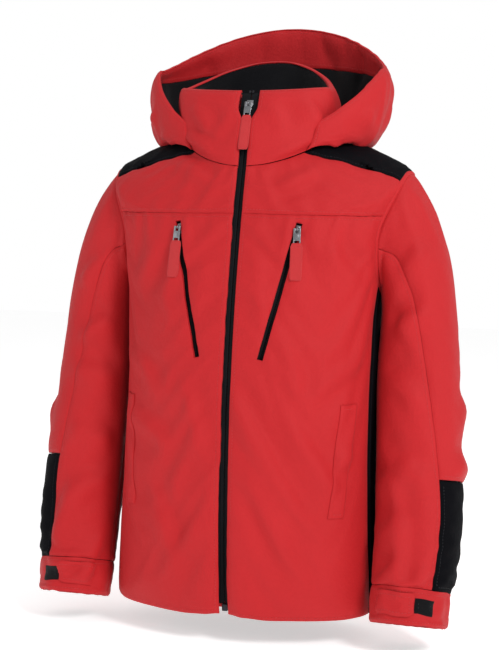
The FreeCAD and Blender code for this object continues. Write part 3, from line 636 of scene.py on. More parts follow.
def stitched(name, paths, thread, pitch=4.0, long=2.9, thick=0.42):
    """Rows of stitches, each a small flattened bead, along paths on the cloth."""
    points, faces = [], []
    for path, normals in paths:
        place, ahead, up = evenly(path, normals, pitch)
        if not len(place):
            continue
        aside = np.cross(up, ahead)
        ring = []
        for share in (-0.3, 0.3):
            for a, b in ((1, 0), (0, 1), (-1, 0), (0, -1)):
                ring.append(place + ahead * long * share + aside * thick * a / 1.2
                            + up * (thick * b * 0.9 + 0.05))
        tips = [place - ahead * long / 2 - up * 0.3, place + ahead * long / 2 - up * 0.3]
        bead = np.stack(ring + tips, 1)
        start = sum(len(p) for p in points)
        base = start + 10 * np.arange(len(place))[:, None]
        sides = [[k, (k + 1) % 4, (k + 1) % 4 + 4, k + 4] for k in range(4)]
        caps = [[8, (k + 1) % 4, k, k] for k in range(4)]
        caps += [[9, k + 4, (k + 1) % 4 + 4, (k + 1) % 4 + 4] for k in range(4)]
        for face in sides + caps:
            faces.append(base + np.array(face))
        points.append(bead.reshape(-1, 3))
    faces = [list(dict.fromkeys(face)) for face in np.concatenate(faces).tolist()]
    mesh = bpy.data.meshes.new(name)
    mesh.from_pydata(np.concatenate(points) * MM, [], faces)
    mesh.polygons.foreach_set("use_smooth", np.ones(len(faces), bool))
    mesh.materials.append(thread)
    piece = bpy.data.objects.new(name, mesh)
    bpy.context.scene.collection.objects.link(piece)
    return piece


def inset_paths(points, normals, edges):
    """The lines a stitch inset away from some edges of a grid: left, right, low or high."""
    paths = []
    for edge in edges:
        along_columns = edge in ("left", "right")
        grid = points if along_columns else np.swapaxes(points, 0, 1)
        norm = normals if along_columns else np.swapaxes(normals, 0, 1)
        first, last = lengths(grid, 0)
        near = first if edge in ("left", "low") else last
        path, ups = [], []
        for j in range(grid.shape[1]):
            distance = near[:, j]
            order = np.argsort(distance)
            distance = distance[order]
            if distance[-1] < STITCH_INSET:
                continue
            path.append([np.interp(STITCH_INSET, distance, grid[order, j, n]) for n in range(3)])
            ups.append([np.interp(STITCH_INSET, distance, norm[order, j, n]) for n in range(3)])
        path, ups = np.array(path), np.array(ups)
        run = np.concatenate([[0], np.cumsum(np.linalg.norm(np.diff(path, axis=0), axis=1))])
        clear = (run > STITCH_INSET) & (run[-1] - run > STITCH_INSET)
        jump = np.nonzero(np.diff(run) > 9.0)[0] + 1
        for part in np.split(np.arange(len(path)), jump):
            part = part[clear[part]]
            if len(part) > 4:
                paths.append((path[part], ups[part]))
    return paths


# ------------------------------------------------------------------ how the cloth has settled
def tame(moved, normals, inward, outward, aside=6.0):
    """Keeps a displacement within what its neighbours leave free."""
    out = (moved * normals).sum(-1, keepdims=True)
    flat = moved - out * normals
    out = np.where(out < 0, inward * np.tanh(out / inward), outward * np.tanh(out / outward))
    return out * normals + capped(flat, aside)


def bump_line(u, v, line, height, width, trough=0.7):
    """A fold: a ridge along a line, with a hollow beside it, fading at both ends."""
    (u0, v0), (u1, v1) = line
    du, dv = u1 - u0, v1 - v0
    length = math.hypot(du, dv)
    along = ((u - u0) * du + (v - v0) * dv) / length ** 2
    aside = ((v - v0) * du - (u - u0) * dv) / length
    bow = width * 0.5 * np.sin(np.clip(along, 0, 1) * math.pi)
    aside = aside - bow
    fade = np.clip(np.minimum(along, 1 - along) * 3.2, 0, 1)
    fade = fade * fade * (3 - 2 * fade)
    ridge = np.exp(-(aside / width) ** 2)
    hollow = np.exp(-((aside - 1.5 * width) / width) ** 2)
    return height * fade * (ridge - trough * hollow)


# x and z of both ends, height and width, on the front of the body
FRONT_FOLDS = [
    (((-12, -300), (112, -500)), 4.2, 11), (((66, -338), (136, -446)), 3.4, 9),
    (((14, -372), (96, -548)), 2.6, 12), (((-26, -470), (-96, -560)), 2.2, 12),
    (((-150, -268), (-92, -330)), 2.6, 10), (((-152, -350), (-70, -392)), 3.0, 10),
    (((152, -268), (96, -322)), 2.6, 9), (((154, -392), (118, -404)), 2.6, 8),
    (((-60, -300), (-28, -420)), 2.0, 10), (((-148, -470), (-64, -500)), 2.2, 11),
    (((-30, -150), (-60, -230)), 1.8, 12), (((20, -140), (42, -250)), 1.8, 11),
    (((-100, -130), (-140, -200)), 2.2, 10), (((104, -130), (146, -196)), 2.2, 10),
    (((-100, -34), (-32, -70)), 2.6, 9), (((100, -36), (36, -74)), 2.6, 9),
    (((-110, -420), (-64, -560)), 2.4, 11), (((60, -250), (92, -330)), 2.4, 10),
]
COLLAR_FOLDS = [
    (((-92, 2), (-34, -34)), 4.6, 8), (((-80, 40), (-46, -4)), 3.4, 8),
    (((90, 0), (24, -36)), 4.6, 8), (((60, 46), (88, 6)), 3.4, 8),
    (((-20, 34), (-48, -14)), 2.4, 8), (((22, 40), (50, -6)), 2.6, 8),
]
# along the rim's arc and up from the neck, both in rough millimetres
HOOD_FOLDS = [
    (((330, 186), (350, 90)), 3.0, 9), (((392, 182), (372, 108)), 3.4, 9),
    (((430, 160), (470, 60)), 3.0, 10), (((548, 130), (486, 40)), 3.0, 9),
    (((590, 70), (540, 16)), 2.4, 8), (((270, 186), (255, 100)), 2.6, 9),
    (((200, 178), (215, 80)), 2.6, 10), (((130, 160), (98, 66)), 3.0, 9),
    (((56, 126), (112, 30)), 3.0, 9), (((12, 70), (60, 18)), 2.4, 8),
    (((236, 60), (364, 44)), 2.6, 10),
]
BACK_FOLDS = [
    (((-140, -250), (20, -330)), 3.4, 13), (((146, -262), (30, -352)), 3.0, 12),
    (((-120, -400), (60, -440)), 2.8, 14), (((130, -430), (-10, -500)), 2.6, 13),
    (((-90, -520), (80, -548)), 2.0, 14), (((-110, -170), (-40, -230)), 2.4, 12),
    (((108, -176), (50, -240)), 2.4, 12),
]
# angle and z of both ends, height and width, on a sleeve
SLEEVE_FOLDS = {
    "left": [
        (((-150, -396), (-60, -424)), 4.2, 8), (((-160, -440), (-90, -420)), 3.2, 8),
        (((150, -380), (70, -410)), 3.6, 9), (((-120, -250), (-60, -210)), 2.6, 9),
        (((-140, -300), (-70, -330)), 2.4, 10), (((-20, -330), (50, -360)), 2.2, 11),
        (((-150, -500), (-80, -470)), 2.6, 9), (((-140, -560), (-95, -520)), 2.6, 8),
        (((20, -250), (80, -300)), 2.2, 11), (((90, -460), (150, -430)), 3.0, 9),
        (((-122, -410), (-104, -568)), 3.0, 7), (((-96, -180), (-40, -130)), 2.2, 10),
        (((-60, -520), (-112, -556)), 2.6, 8), (((-40, -400), (30, -420)), 2.6, 9),
    ],
    "right": [
        (((-150, -410), (-80, -380)), 3.8, 8), (((-160, -450), (-70, -470)), 3.4, 9),
        (((150, -400), (60, -370)), 3.4, 9), (((-130, -240), (-70, -270)), 2.8, 9),
        (((-140, -330), (-60, -300)), 2.6, 10), (((-110, -590), (-150, -515)), 4.0, 8),
        (((-30, -380), (40, -345)), 2.4, 11), (((100, -480), (160, -450)), 3.0, 9),
        (((10, -220), (70, -270)), 2.2, 11), (((-110, -150), (-60, -200)), 2.2, 10),
        (((-120, -440), (-70, -540)), 2.6, 9), (((-60, -560), (-130, -540)), 2.6, 8),
    ],
}
ROW_STEPS, BODY_STEPS, SLEEVE_STEPS = 12, 150, 46
FOLD_STRENGTH, SLEEVE_FOLD_STRENGTH, HOOD_FOLD_STRENGTH = 2.5, 4.0, 2.0
SIDE_FULLNESS, SLEEVE_FULLNESS = 5.2, 3.4   # how far the flank and the arm stand towards each other


def body_settled():
    """How the body's cloth has moved, over angle and row."""
    degrees = np.linspace(0, 360, BODY_STEPS, endpoint=False)
    row = np.linspace(0, len(BODY) - 1, ROW_STEPS * (len(BODY) - 1) + 1)
    angle, rows = np.meshgrid(degrees, row, indexing="ij")
    base = body_point(angle, rows)
    hole = in_armhole(base) < 0.95
    hole &= np.abs(base[..., 0]) > 120
    held = np.zeros(base.shape[:2])
    held[np.abs(base[..., 0]) < 8] = np.where(base[np.abs(base[..., 0]) < 8][:, 1] < 0, 1, 0)
    held[:, -1] = 1
    held[:, 0] = 0.15
    rim = (in_armhole(base) < 1.12) & (np.abs(base[..., 0]) > 120)
    held[rim] = 1
    seam = np.abs(base[..., 2] - np.where(base[..., 1] < 30, CHEST_SEAM_Z, BACK_SEAM_Z)) < 4
    held[seam & (held < 1)] = 0.5
    moved = settle("body_cloth", base, held, hole, 0.035, 0.9, closed=True, frames=22)
    normals = grid_normals(base, True)
    x, z = base[..., 0], base[..., 2]
    ahead = np.clip(normals[..., 1] * -1.6, 0, 1)
    for folds, facing in ((FRONT_FOLDS, ahead), (BACK_FOLDS, np.clip(normals[..., 1] * 1.6, 0, 1))):
        for line, height, width in folds:
            fold = bump_line(x, z, line, FOLD_STRENGTH * height, width)
            moved = moved + normals * (facing * fold)[..., None]
    beside = 1 - 0.6 * np.exp(-((np.abs(180 - np.abs(angle - 180)) - 96) / 20) ** 2)
    moved = tame(moved, normals, 3.8, 8.5) * beside[..., None]
    full = np.exp(-((np.abs(180 - np.abs(angle - 180)) - 97) / 15) ** 2)
    full = full * np.clip((-230 - z) / 50, 0, 1) * np.clip((z + 600) / 40, 0, 1)
    moved = moved + normals * (SIDE_FULLNESS * full)[..., None]
    moved[held == 1] *= 0.15
    wrapped = np.concatenate([moved, moved[:1]])
    return Field(np.append(degrees, 360.0), row, wrapped)


def sleeve_settled(side):
    degrees = np.linspace(-180, 180, SLEEVE_STEPS, endpoint=False)
    row = np.linspace(0, len(SLEEVE), 9 * len(SLEEVE) + 1)
    angle, rows = np.meshgrid(degrees, row, indexing="ij")
    base, angle = sleeve_point(angle, rows)[::-1], angle[::-1]
    held = np.zeros(base.shape[:2])
    held[:, 0] = 1
    held[:, -1] = 0.5
    held[:, -10] = 0.5
    grow = {"left": 0.045, "right": 0.038}[side]
    moved = settle("sleeve_cloth_" + side, base, held, None, grow, 0.7, closed=True, frames=22,
                   gravity={"left": 0.5, "right": 0.75}[side])
    normals = grid_normals(base, True)
    for line, height, width in SLEEVE_FOLDS[side]:
        fold = bump_line(angle * 0.95, base[..., 2], tuple((a * 0.95, z) for a, z in line),
                         SLEEVE_FOLD_STRENGTH * height, 1.35 * width, 1.0)
        moved = moved + normals * fold[..., None]
    inside = 1 - 0.62 * np.exp(-((180 - np.abs(angle)) / 48) ** 2)
    moved = tame(moved, normals, 4.2, 8.0) * inside[..., None]
    if side == "left":
        nearer = np.exp(-((180 - np.abs(angle)) / 40) ** 2) * np.clip((rows - 2) / 1.5, 0, 1)
        moved = moved + normals * (SLEEVE_FULLNESS * nearer)[..., None]
    moved[:, :3] *= np.array([0.0, 0.35, 0.75])[:, None]
    moved = moved[::-1]
    return Field(np.append(degrees, 180.0), row, np.concatenate([moved, moved[:1]]))


def hood_settled():
    share = np.linspace(HOOD_TIP, 1 - HOOD_TIP, 96)
    row = np.linspace(0, len(HOOD) - 1, 13 * (len(HOOD) - 1) + 1)
    shares, rows = np.meshgrid(share, row, indexing="ij")
    base = hood_point(shares, rows)[::-1]
    held = np.zeros(base.shape[:2])
    held[:, 0] = held[0] = held[-1] = 1
    held[:, -1] = 0.5
    moved = settle("hood_cloth", base, held, None, 0.04, 0.8, frames=20, gravity=0.6)
    normals = grid_normals(base)
    across, up = shares[::-1] * 600, rows[::-1] * 45
    for line, height, width in HOOD_FOLDS:
        moved = moved + normals * bump_line(across, up, line, HOOD_FOLD_STRENGTH * height,
                                             width)[..., None]
    still = np.minimum(np.minimum(shares, 1 - shares) / 0.09, rows / 0.5)[::-1]
    moved = tame(moved, normals, 2.2, 8.0) * np.clip(still, 0, 1)[..., None] ** 1.5
    moved[held == 1] = 0
    return Field(share, row, moved[::-1])


BODY_MOVED = body_settled()
SLEEVE_MOVED = {side: sleeve_settled(side) for side in SIDES}
HOOD_MOVED = hood_settled()


# ------------------------------------------------------------------ where the zips run
class ZipLine:
    """A zip's arc. Places are x across it, s down it and depth under the cloth's face."""

    def __init__(self, top, bottom, outward, bulge):
        chord = top - bottom
        length = np.linalg.norm(chord)
        up = chord / length
        outward = outward - up * outward.dot(up)
        outward /= np.linalg.norm(outward)
        self.radius = length ** 2 / (8 * bulge) + bulge / 2
        self.centre = (top + bottom) / 2 + outward * (bulge - self.radius)
        self.across = np.cross(-outward, up)
        half = math.asin(length / 2 / self.radius)
        self.arc = self.radius * 2 * half
        self.start = outward * math.cos(half) + up * math.sin(half)

    def frame(self, s):
        turn = np.asarray(s, float)[..., None] / self.radius
        side = np.cross(self.across, self.start)
        outward = self.start * np.cos(turn) + side * np.sin(turn)
        return self.centre + outward * self.radius, outward, np.cross(outward, self.across)

    def at(self, x, s, depth):
        point, outward, _ = self.frame(s)
        aside = self.across * np.asarray(x)[..., None]
        return point + aside - outward * np.asarray(depth)[..., None]

    def strip(self, x0, x1, s0, s1, depth, columns=6, step=6.0):
        """A grid of places across and up a band of the zip."""
        count = max(2, int((s1 - s0) / step))
        x, s = np.meshgrid(np.linspace(x0, x1, columns), np.linspace(s1, s0, count), indexing="ij")
        return self.at(x, s, depth + 0 * x)

    def matrix(self, s, depth, lean=0.0):
        """Local axes there: x across, y inward and z up, turned by lean in the cloth's plane."""
        point, outward, up = self.frame(s)
        point = point - outward * depth
        c, d = math.cos(math.radians(lean)), math.sin(math.radians(lean))
        across = self.across * c + np.cross(outward, self.across) * d
        up = up * c + np.cross(outward, up) * d
        axes = np.stack([across, -outward, up], -1)
        matrix = Matrix.Identity(4)
        for i in range(3):
            for j in range(3):
                matrix[i][j] = axes[i, j]
            matrix[i][3] = point[i] * MM
        return matrix


def front_place(x, z):
    row = np.array(4.0)
    for _ in range(8):
        degrees = angle_at(x, row)
        row = row_at(degrees, z)
    across = body_point(degrees + 0.5, row) - body_point(degrees - 0.5, row)
    up = body_point(degrees, row + 0.05) - body_point(degrees, row - 0.05)
    normal = np.cross(across, up)
    return body_point(degrees, row), normal / np.linalg.norm(normal)


def main_zip_line():
    top = np.array([0, front_y(COLLAR_TOP_Z), COLLAR_TOP_Z])
    bottom = np.array([0, front_y(HEM_Z), HEM_Z])
    half = np.linalg.norm(top - bottom) / 2
    bulge = FRONT_RADIUS - math.sqrt(FRONT_RADIUS ** 2 - half ** 2)
    return ZipLine(top, bottom, np.array([0.0, -1.0, 0.0]), bulge)


CHEST_TOP, CHEST_LOW, CHEST_ZIP_EDGE = (79.0, -112.0), (41.0, -281.0), 3.8


def chest_zip_line():
    (top, first), (low, last) = front_place(*CHEST_TOP), front_place(*CHEST_LOW)
    middle, between = front_place((CHEST_TOP[0] + CHEST_LOW[0]) / 2,
                                  (CHEST_TOP[1] + CHEST_LOW[1]) / 2)
    outward = first + last + between
    outward /= np.linalg.norm(outward)
    return ZipLine(top, low, outward, (middle - (top + low) / 2).dot(outward))


MAIN_ZIP = main_zip_line()
CHEST_ZIP = chest_zip_line()


class MirroredZip(ZipLine):
    """The same zip on the other side of the body."""

    def __init__(self, line):
        self.radius, self.arc = line.radius, line.arc
        flip = np.array([-1, 1, 1])
        self.centre, self.start = line.centre * flip, line.start * flip
        self.across = -line.across * flip


CHEST_ZIPS = {"left": CHEST_ZIP, "right": MirroredZip(CHEST_ZIP)}


# ------------------------------------------------------------------ the body's panels
def solve_patch(left, right, low, high, a, b):
    """Angles and rows of a grid between two edges, given by row, and two, given by angle."""
    a, b = np.meshgrid(a, b, indexing="ij")
    row = low(60.0 + 0 * a) * (1 - b) + high(60.0 + 0 * a) * b
    for _ in range(9):
        start, end = left(row), right(row)
        degrees = start + (end - start) * a
        bottom, top = low(degrees), high(degrees)
        row = bottom + (top - bottom) * b
    return degrees, row


def body_surface(degrees, row):
    return body_point(degrees, row) + BODY_MOVED.read(np.mod(degrees, 360), row)


def sewn(name, base, slot, sinks, stitches=(), wall=WALL, puff=PUFF, well=None):
    """A padded panel on a grid whose normals point out, and the paths of its stitching.

    well gives how deep each place is drawn in by something sewn across the panel."""
    normals = grid_normals(base)
    outer = puffed(base, normals, sinks, puff)
    if well is not None:
        outer = outer - normals * well[..., None]
    piece = cloth_piece(name, outer, wall, slot, grid_normals(outer) * 0.3 + normals * 0.7)
    return piece, inset_paths(outer, grid_normals(outer), stitches)


def lined(name, base, depth, wall, slot, sinks=(0, 0, 0, 0), stitches=()):
    """A layer some way under a grid, which faces inwards."""
    normals = grid_normals(base)
    depth = np.broadcast_to(depth, base.shape[:2])[..., None]
    inner = (base - normals * (depth + wall))[::-1]
    return sewn(name, inner, slot, sinks, stitches, wall, puff=0)


def zip_well(points, line):
    """How far the cloth dips towards the edge of a slot that a zip lies in."""
    from_centre = points - line.centre
    aside = np.abs(from_centre @ line.across)
    up = np.cross(line.start, line.across)
    along = np.arctan2(-(from_centre @ up), from_centre @ line.start) * line.radius
    past = np.maximum(np.maximum(-along, along - line.arc), 0)
    away = np.hypot(np.maximum(aside - CHEST_ZIP_EDGE, 0), past)
    return 1.5 * np.exp(-(away / 2.4) ** 1.6) + 0.5 * np.exp(-((away - STITCH_INSET) / 0.9) ** 2)


def open_slot(piece, line):
    """Cuts the slot that a zip shows through."""
    s = np.linspace(0, line.arc, 40)
    ring = [(-CHEST_ZIP_EDGE, -9.0), (CHEST_ZIP_EDGE, -9.0), (CHEST_ZIP_EDGE, 13.0),
            (-CHEST_ZIP_EDGE, 13.0)]
    points = np.stack([line.at(x + 0 * s, s, depth + 0 * s) for x, depth in ring], 1)
    count = len(s)
    index = np.arange(4 * count).reshape(count, 4)
    faces = [[index[i, k], index[i, (k + 1) % 4], index[i + 1, (k + 1) % 4], index[i + 1, k]]
             for i in range(count - 1) for k in range(4)]
    faces += [index[0, ::-1].tolist(), index[-1].tolist()]
    mesh = bpy.data.meshes.new("slot")
    mesh.from_pydata(points.reshape(-1, 3) * MM, [], [[int(v) for v in face] for face in faces])
    cutter = bpy.data.objects.new("slot", mesh)
    bpy.context.scene.collection.objects.link(cutter)
    only(cutter)
    bpy.ops.object.mode_set(mode="EDIT")
    bpy.ops.mesh.select_all(action="SELECT")
    bpy.ops.mesh.normals_make_consistent(inside=False)
    bpy.ops.object.mode_set(mode="OBJECT")
    only(piece)
    cut = piece.modifiers.new("slot", "BOOLEAN")
    cut.operation, cut.solver, cut.object = "DIFFERENCE", "EXACT", cutter
    bpy.ops.object.modifier_apply(modifier="slot")
    bpy.data.objects.remove(cutter)


def torso_panel(name, side, edges, size, slot, sinks, stitches, zip_line=None):
    """One panel of the body. side 0 is one that crosses the middle of the back."""
    a, b = spaced(size[0], 2.2 if zip_line else 4.2), spaced(size[1], 4.2)
    degrees, row = solve_patch(*edges, a, b)
    if side < 0:
        degrees, row = 360 - degrees[::-1], row[::-1]
        sinks = [sinks[1], sinks[0], *sinks[2:]]
        swap = {"left": "right", "right": "left"}
        stitches = [swap.get(edge, edge) for edge in stitches]
    base = body_surface(degrees, row)
    if not zip_line:
        return sewn(name, base, slot, sinks, stitches)
    piece, paths = sewn(name, base, slot, sinks, stitches, well=zip_well(base, zip_line))
    open_slot(piece, zip_line)
    return piece, paths


def body_panels():
    gap = math.degrees(SEAM_GAP / CHEST_RADIUS)
    arm_front = lambda row: armhole_angle(row, 20.0)
    arm_back = lambda row: armhole_angle(row, 160.0)
    shoulder_share = lambda row: np.clip((row - SHOULDER_ROWS[0]) / 2, 0, 1)
    shoulder_front = lambda row: SHOULDER_FRONT[0] + np.diff(SHOULDER_FRONT) * shoulder_share(row)
    shoulder_back = lambda row: SHOULDER_BACK[0] + np.diff(SHOULDER_BACK) * shoulder_share(row)
    zip_side = lambda row: angle_at(ZIP_EDGE, row)
    bottom = lambda d: 0.0 * d
    neck = lambda d: 0.0 * d + len(BODY) - 1.005
    chest = lambda d: row_at(d, CHEST_SEAM_Z)
    back_seam = lambda d: row_at(d, BACK_SEAM_Z)

    def under_arm(d):
        return root(lambda row: in_armhole(body_point(d, row)) - 1, 2.0 + 0 * d, 5.35 + 0 * d)

    def over_arm(d):
        return root(lambda row: in_armhole(body_point(d, row)) - 1, 5.4 + 0 * d, 7.6 + 0 * d)

    full = SEAM_SINK
    found = {}
    for name, side in SIDES.items():
        front = (zip_side, lambda r: np.minimum(SIDE_SEAM[0] - gap, arm_front(r) - gap),
                 bottom, chest)
        yoke = (zip_side, lambda r: np.minimum(shoulder_front(r) - gap, arm_front(r) - gap),
                lambda d: chest(d) + 0.006, neck)
        shoulder = (lambda r: shoulder_front(r) + gap, lambda r: shoulder_back(r) - gap,
                    over_arm, neck)
        flank = (lambda r: SIDE_SEAM[0] + gap + 0 * r, lambda r: SIDE_SEAM[1] - gap + 0 * r,
                 bottom, under_arm)
        found[f"front_panel_{name}"] = torso_panel(
            f"front_panel_{name}", side, front, (235, 500), "shell_red",
            (1.2, full, 1.4, full), ["left", "right", "low", "high"], CHEST_ZIPS[name])
        found[f"front_yoke_{name}"] = torso_panel(
            f"front_yoke_{name}", side, yoke, (170, 100), "shell_red", (1.2, full, full, 1.0),
            ["left", "low"])
        found[f"shoulder_panel_{name}"] = torso_panel(
            f"shoulder_panel_{name}", side, shoulder, (100, 110), "shell_black",
            (full, full, full, full), ["left", "right", "low"])
        found[f"side_panel_{name}"] = torso_panel(
            f"side_panel_{name}", side, flank, (76, 420), "shell_black",
            (full, full, 1.4, full), ["left", "right"])
    back = (lambda r: np.maximum(SIDE_SEAM[1] + gap, arm_back(r) + gap),
            lambda r: 360 - np.maximum(SIDE_SEAM[1] + gap, arm_back(r) + gap), bottom, back_seam)
    found["back_panel"] = torso_panel("back_panel", 0, back, (400, 500), "shell_red",
                                      (full, full, 1.4, full), ["left", "right", "low", "high"])
    edge = lambda r: np.maximum(shoulder_back(r) + gap, arm_back(r) + gap)
    back_yoke = (edge, lambda r: 360 - edge(r), lambda d: back_seam(d) + 0.006, neck)
    found["back_yoke"] = torso_panel("back_yoke", 0, back_yoke, (330, 130), "shell_red",
                                     (full, full, full, full), ["low"])
    red, black = [], []
    for name, (piece, paths) in found.items():
        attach(piece, "jacket_body")
        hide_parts(name)
        (black if piece["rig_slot"] == "shell_black" else red).extend(paths)
    for name, paths, thread in (("body_stitching_red", red, THREAD_RED),
                                ("body_stitching_black", black, THREAD_BLACK)):
        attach(stitched(name, paths, thread), "jacket_body")


body_panels()


# ------------------------------------------------------------------ collar and lining
def collar_surface(degrees, row):
    """The collar, a little full between its edges, with soft folds round the neck."""
    base = collar_point(degrees, row)
    turn = np.radians(degrees)
    rise = np.clip(row, 0, 2) / 2
    swell = 2.4 * np.sin(math.pi * np.clip(rise * 1.05, 0, 1)) ** 0.8
    waves = 1.3 * np.sin(7 * turn + 1.3) * np.sin(math.pi * rise) ** 2
    waves = waves + 0.9 * np.sin(13 * turn + 4 * rise + 0.4) * np.sin(math.pi * rise)
    near = np.clip((rise - 0.86) / 0.14, 0, 1)
    centre = np.stack([0 * turn, 30 + 0 * turn, base[..., 2]], -1)
    away = (base - centre)
    away[..., 2] = 0
    away = away / np.maximum(np.linalg.norm(away, axis=-1, keepdims=True), 1e-9)
    drop = np.zeros_like(base)
    drop[..., 2] = -1.2 * near ** 2
    crease = sum(bump_line(base[..., 0], base[..., 2], line, height, width)
                 for line, height, width in COLLAR_FOLDS)
    crease = crease * np.clip(row / 0.3, 0, 1) * (base[..., 1] < 10)
    return base + away * (swell + waves + crease - 1.8 * near ** 2)[..., None] + drop


def collar_front(row):
    z = -42 + (COLLAR_TOP_Z + 42) * row / 2
    spread = np.clip((z - 14) / 20, 0, 1)
    ease = spread * spread * (3 - 2 * spread)
    return angle_at(ZIP_EDGE + (COLLAR_OPEN_HALF - ZIP_EDGE) * ease, row, collar_point)


def collar():
    low, high = (lambda d: 0.0 * d + 0.01), (lambda d: 0.0 * d + 2.0)
    paths = []
    for name, side in SIDES.items():
        degrees, row = solve_patch(collar_front, lambda r: 179.8 + 0 * r, low, high,
                                   spaced(210, 4), spaced(100, 3.6))
        sinks, edges = [1.4, 1.0, 0.5, 3.0], ["left", "high"]
        if side < 0:
            degrees, row = 360 - degrees[::-1], row[::-1]
            sinks, edges = [1.0, 1.4, 0.5, 3.0], ["right", "high"]
        piece, lines = sewn(f"collar_{name}", collar_surface(degrees, row), "shell_red",
                            sinks, edges, puff=1.6)
        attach(piece, "jacket_body")
        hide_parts(f"collar_{name}")
        paths += lines
    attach(stitched("collar_stitching", paths, THREAD_RED), "jacket_body")

    a, b = spaced(480, 3.4), spaced(100, 3.4)
    degrees, row = solve_patch(lambda r: 12 + 2 * r, lambda r: 348 - 2 * r, low,
                               lambda d: 0.0 * d + 1.985, a, b)
    base = collar_surface(degrees, row)
    depth = 4.6 - 2.2 * np.clip((row - 1.8) / 0.185, 0, 1) ** 2
    pile, _ = lined("collar_lining", base, depth, 2.6, "fleece_black", (1, 1, 1, 1.4))
    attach(pile, "jacket_body")
    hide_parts("collar_lining")


def lining():
    """The body's lining in three pieces, and the facing round the hem."""
    flap = 28.0
    edge = lambda row: angle_at(flap, row)
    low, high = (lambda d: 0.0 * d + 0.10), (lambda d: 0.0 * d + 7.975)
    arm_front = lambda row: armhole_angle(row, 20.0)
    arm_back = lambda row: armhole_angle(row, 160.0)
    pieces = []
    for name, side in SIDES.items():
        degrees, row = solve_patch(edge, arm_front, low, high, spaced(230, 9), spaced(600, 9))
        if side < 0:
            degrees, row = 360 - degrees[::-1], row[::-1]
        pieces.append((f"body_lining_{name}", degrees, row, (0.235, 0.60), 0.108))
    degrees, row = solve_patch(arm_back, lambda r: 360 - arm_back(r), low, high,
                               spaced(480, 9), spaced(600, 9))
    pieces.append(("body_lining_back", degrees, row, (0.47, 0.60), 0.222))
    for name, degrees, row, flat, cut in pieces:
        turn = np.radians(degrees)
        base = body_point(degrees, row)
        loose = 0.9 * np.sin(17 * turn + 2 * row) + 0.7 * np.sin(5 * row + 9 * turn)
        depth = 11.6 + loose * np.clip(row * 2, 0, 1) * np.clip((7.9 - row) * 2, 0, 1)
        depth = depth - 5.4 * np.clip((row - 7.5) / 0.475, 0, 1) ** 2
        piece, _ = lined(name, base, depth, 1.2, "lining_black")
        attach(piece, "jacket_body")
        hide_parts("body_lining")
    degrees, row = solve_patch(lambda r: 9.5 + 0 * r, lambda r: 350.5 + 0 * r,
                               lambda d: 0.0 * d + 0.012, lambda d: 0.0 * d + 0.26,
                               spaced(960, 6), spaced(28, 3))
    base = body_surface(degrees, row)
    depth = 3.4 + 6.6 * np.clip(row / 0.2, 0, 1) ** 0.8
    facing, _ = lined("hem_facing", base, depth, 1.4, "shell_red", (0, 0, 0.5, 0.8), ["high"])
    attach(facing, "jacket_body")
    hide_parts("hem_facing")


collar()
lining()


# ------------------------------------------------------------------ hood
def hood_surface(share, row):
    return hood_point(share, row) + HOOD_MOVED.read(share, row)


def hood_grid(start, end, low, high, columns, rows):
    """A grid of the hood whose columns run so that its normals point out."""
    share, row = np.meshgrid(end + (start - end) * columns, low + (high - low) * rows,
                             indexing="ij")
    return share, row


def hood():
    centre, rim = 38.0 / HOOD_RIM_HALF, len(HOOD) - 1.0
    gap = 0.3 / 450
    side_cols, side_rows = spaced(215, 4), spaced(170, 4)
    made = {
        "hood_side_left": hood_grid(0.5 + centre + gap, 1 - HOOD_TIP, 0.01, rim, side_cols,
                                    side_rows),
        "hood_side_right": hood_grid(HOOD_TIP, 0.5 - centre - gap, 0.01, rim, side_cols,
                                     side_rows),
        "hood_centre_panel": hood_grid(0.5 - centre, 0.5 + centre, 0.01, rim,
                                       spaced(150, 4), side_rows),
    }
    paths = []
    for name, (share, row) in made.items():
        base = hood_surface(share, row)
        piece, lines = sewn(name, base, "shell_red", (1.8, 1.8, 1.6, 2.2),
                            ["left", "right", "high"], wall=3.2, puff=1.0)
        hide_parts(name)
        hood_hangs(piece)
        paths += lines
    hood_hangs(stitched("hood_stitching", paths, THREAD_RED))

    facing_row, tip, over = 3.05, 0.022, 0.004
    parts = [("hood_lining_left", 0.5 + centre - over, 1 - tip, (0.20, 0.118)),
             ("hood_lining_middle", 0.5 - centre - over, 0.5 + centre + over, (0.19, 0.169)),
             ("hood_lining_right", tip, 0.5 - centre + over, (0.20, 0.118))]
    for name, start, end, flat in parts:
        share, row = hood_grid(start, end, 0.06, facing_row - 0.01, spaced(200, 5), spaced(130, 5))
        loose = 1.0 * np.sin(60 * share + 3 * row) + 0.8 * np.sin(34 * share - 5 * row + 1)
        depth = 5.2 + 0.6 * loose
        piece, _ = lined(name, hood_surface(share, row), depth, 1.2, "lining_black",
                         (1.5, 1.5, 0, 0.6))
        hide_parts("hood_lining")
        hood_hangs(piece)
    share, row = hood_grid(tip, 1 - tip, facing_row + 0.01, rim - 0.01,
                           spaced(540, 4), spaced(50, 3.4))
    depth = 5.0 - 1.9 * np.clip((row - 3.7) / 0.29, 0, 1) ** 2 + 0.3 * np.sin(70 * share)
    facing, lines = lined("hood_facing", hood_surface(share, row), depth, 1.4, "shell_red",
                          (0.4, 0.4, 1.0, 0.9), ["low", "high"])
    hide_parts("hood_facing")
    hood_hangs(facing)
    hood_hangs(stitched("hood_facing_stitching", lines, THREAD_RED))


def hood_hangs(piece):
    """Bakes the piece's placing into its mesh; the hood stays as it is made."""
    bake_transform(piece)


hood()


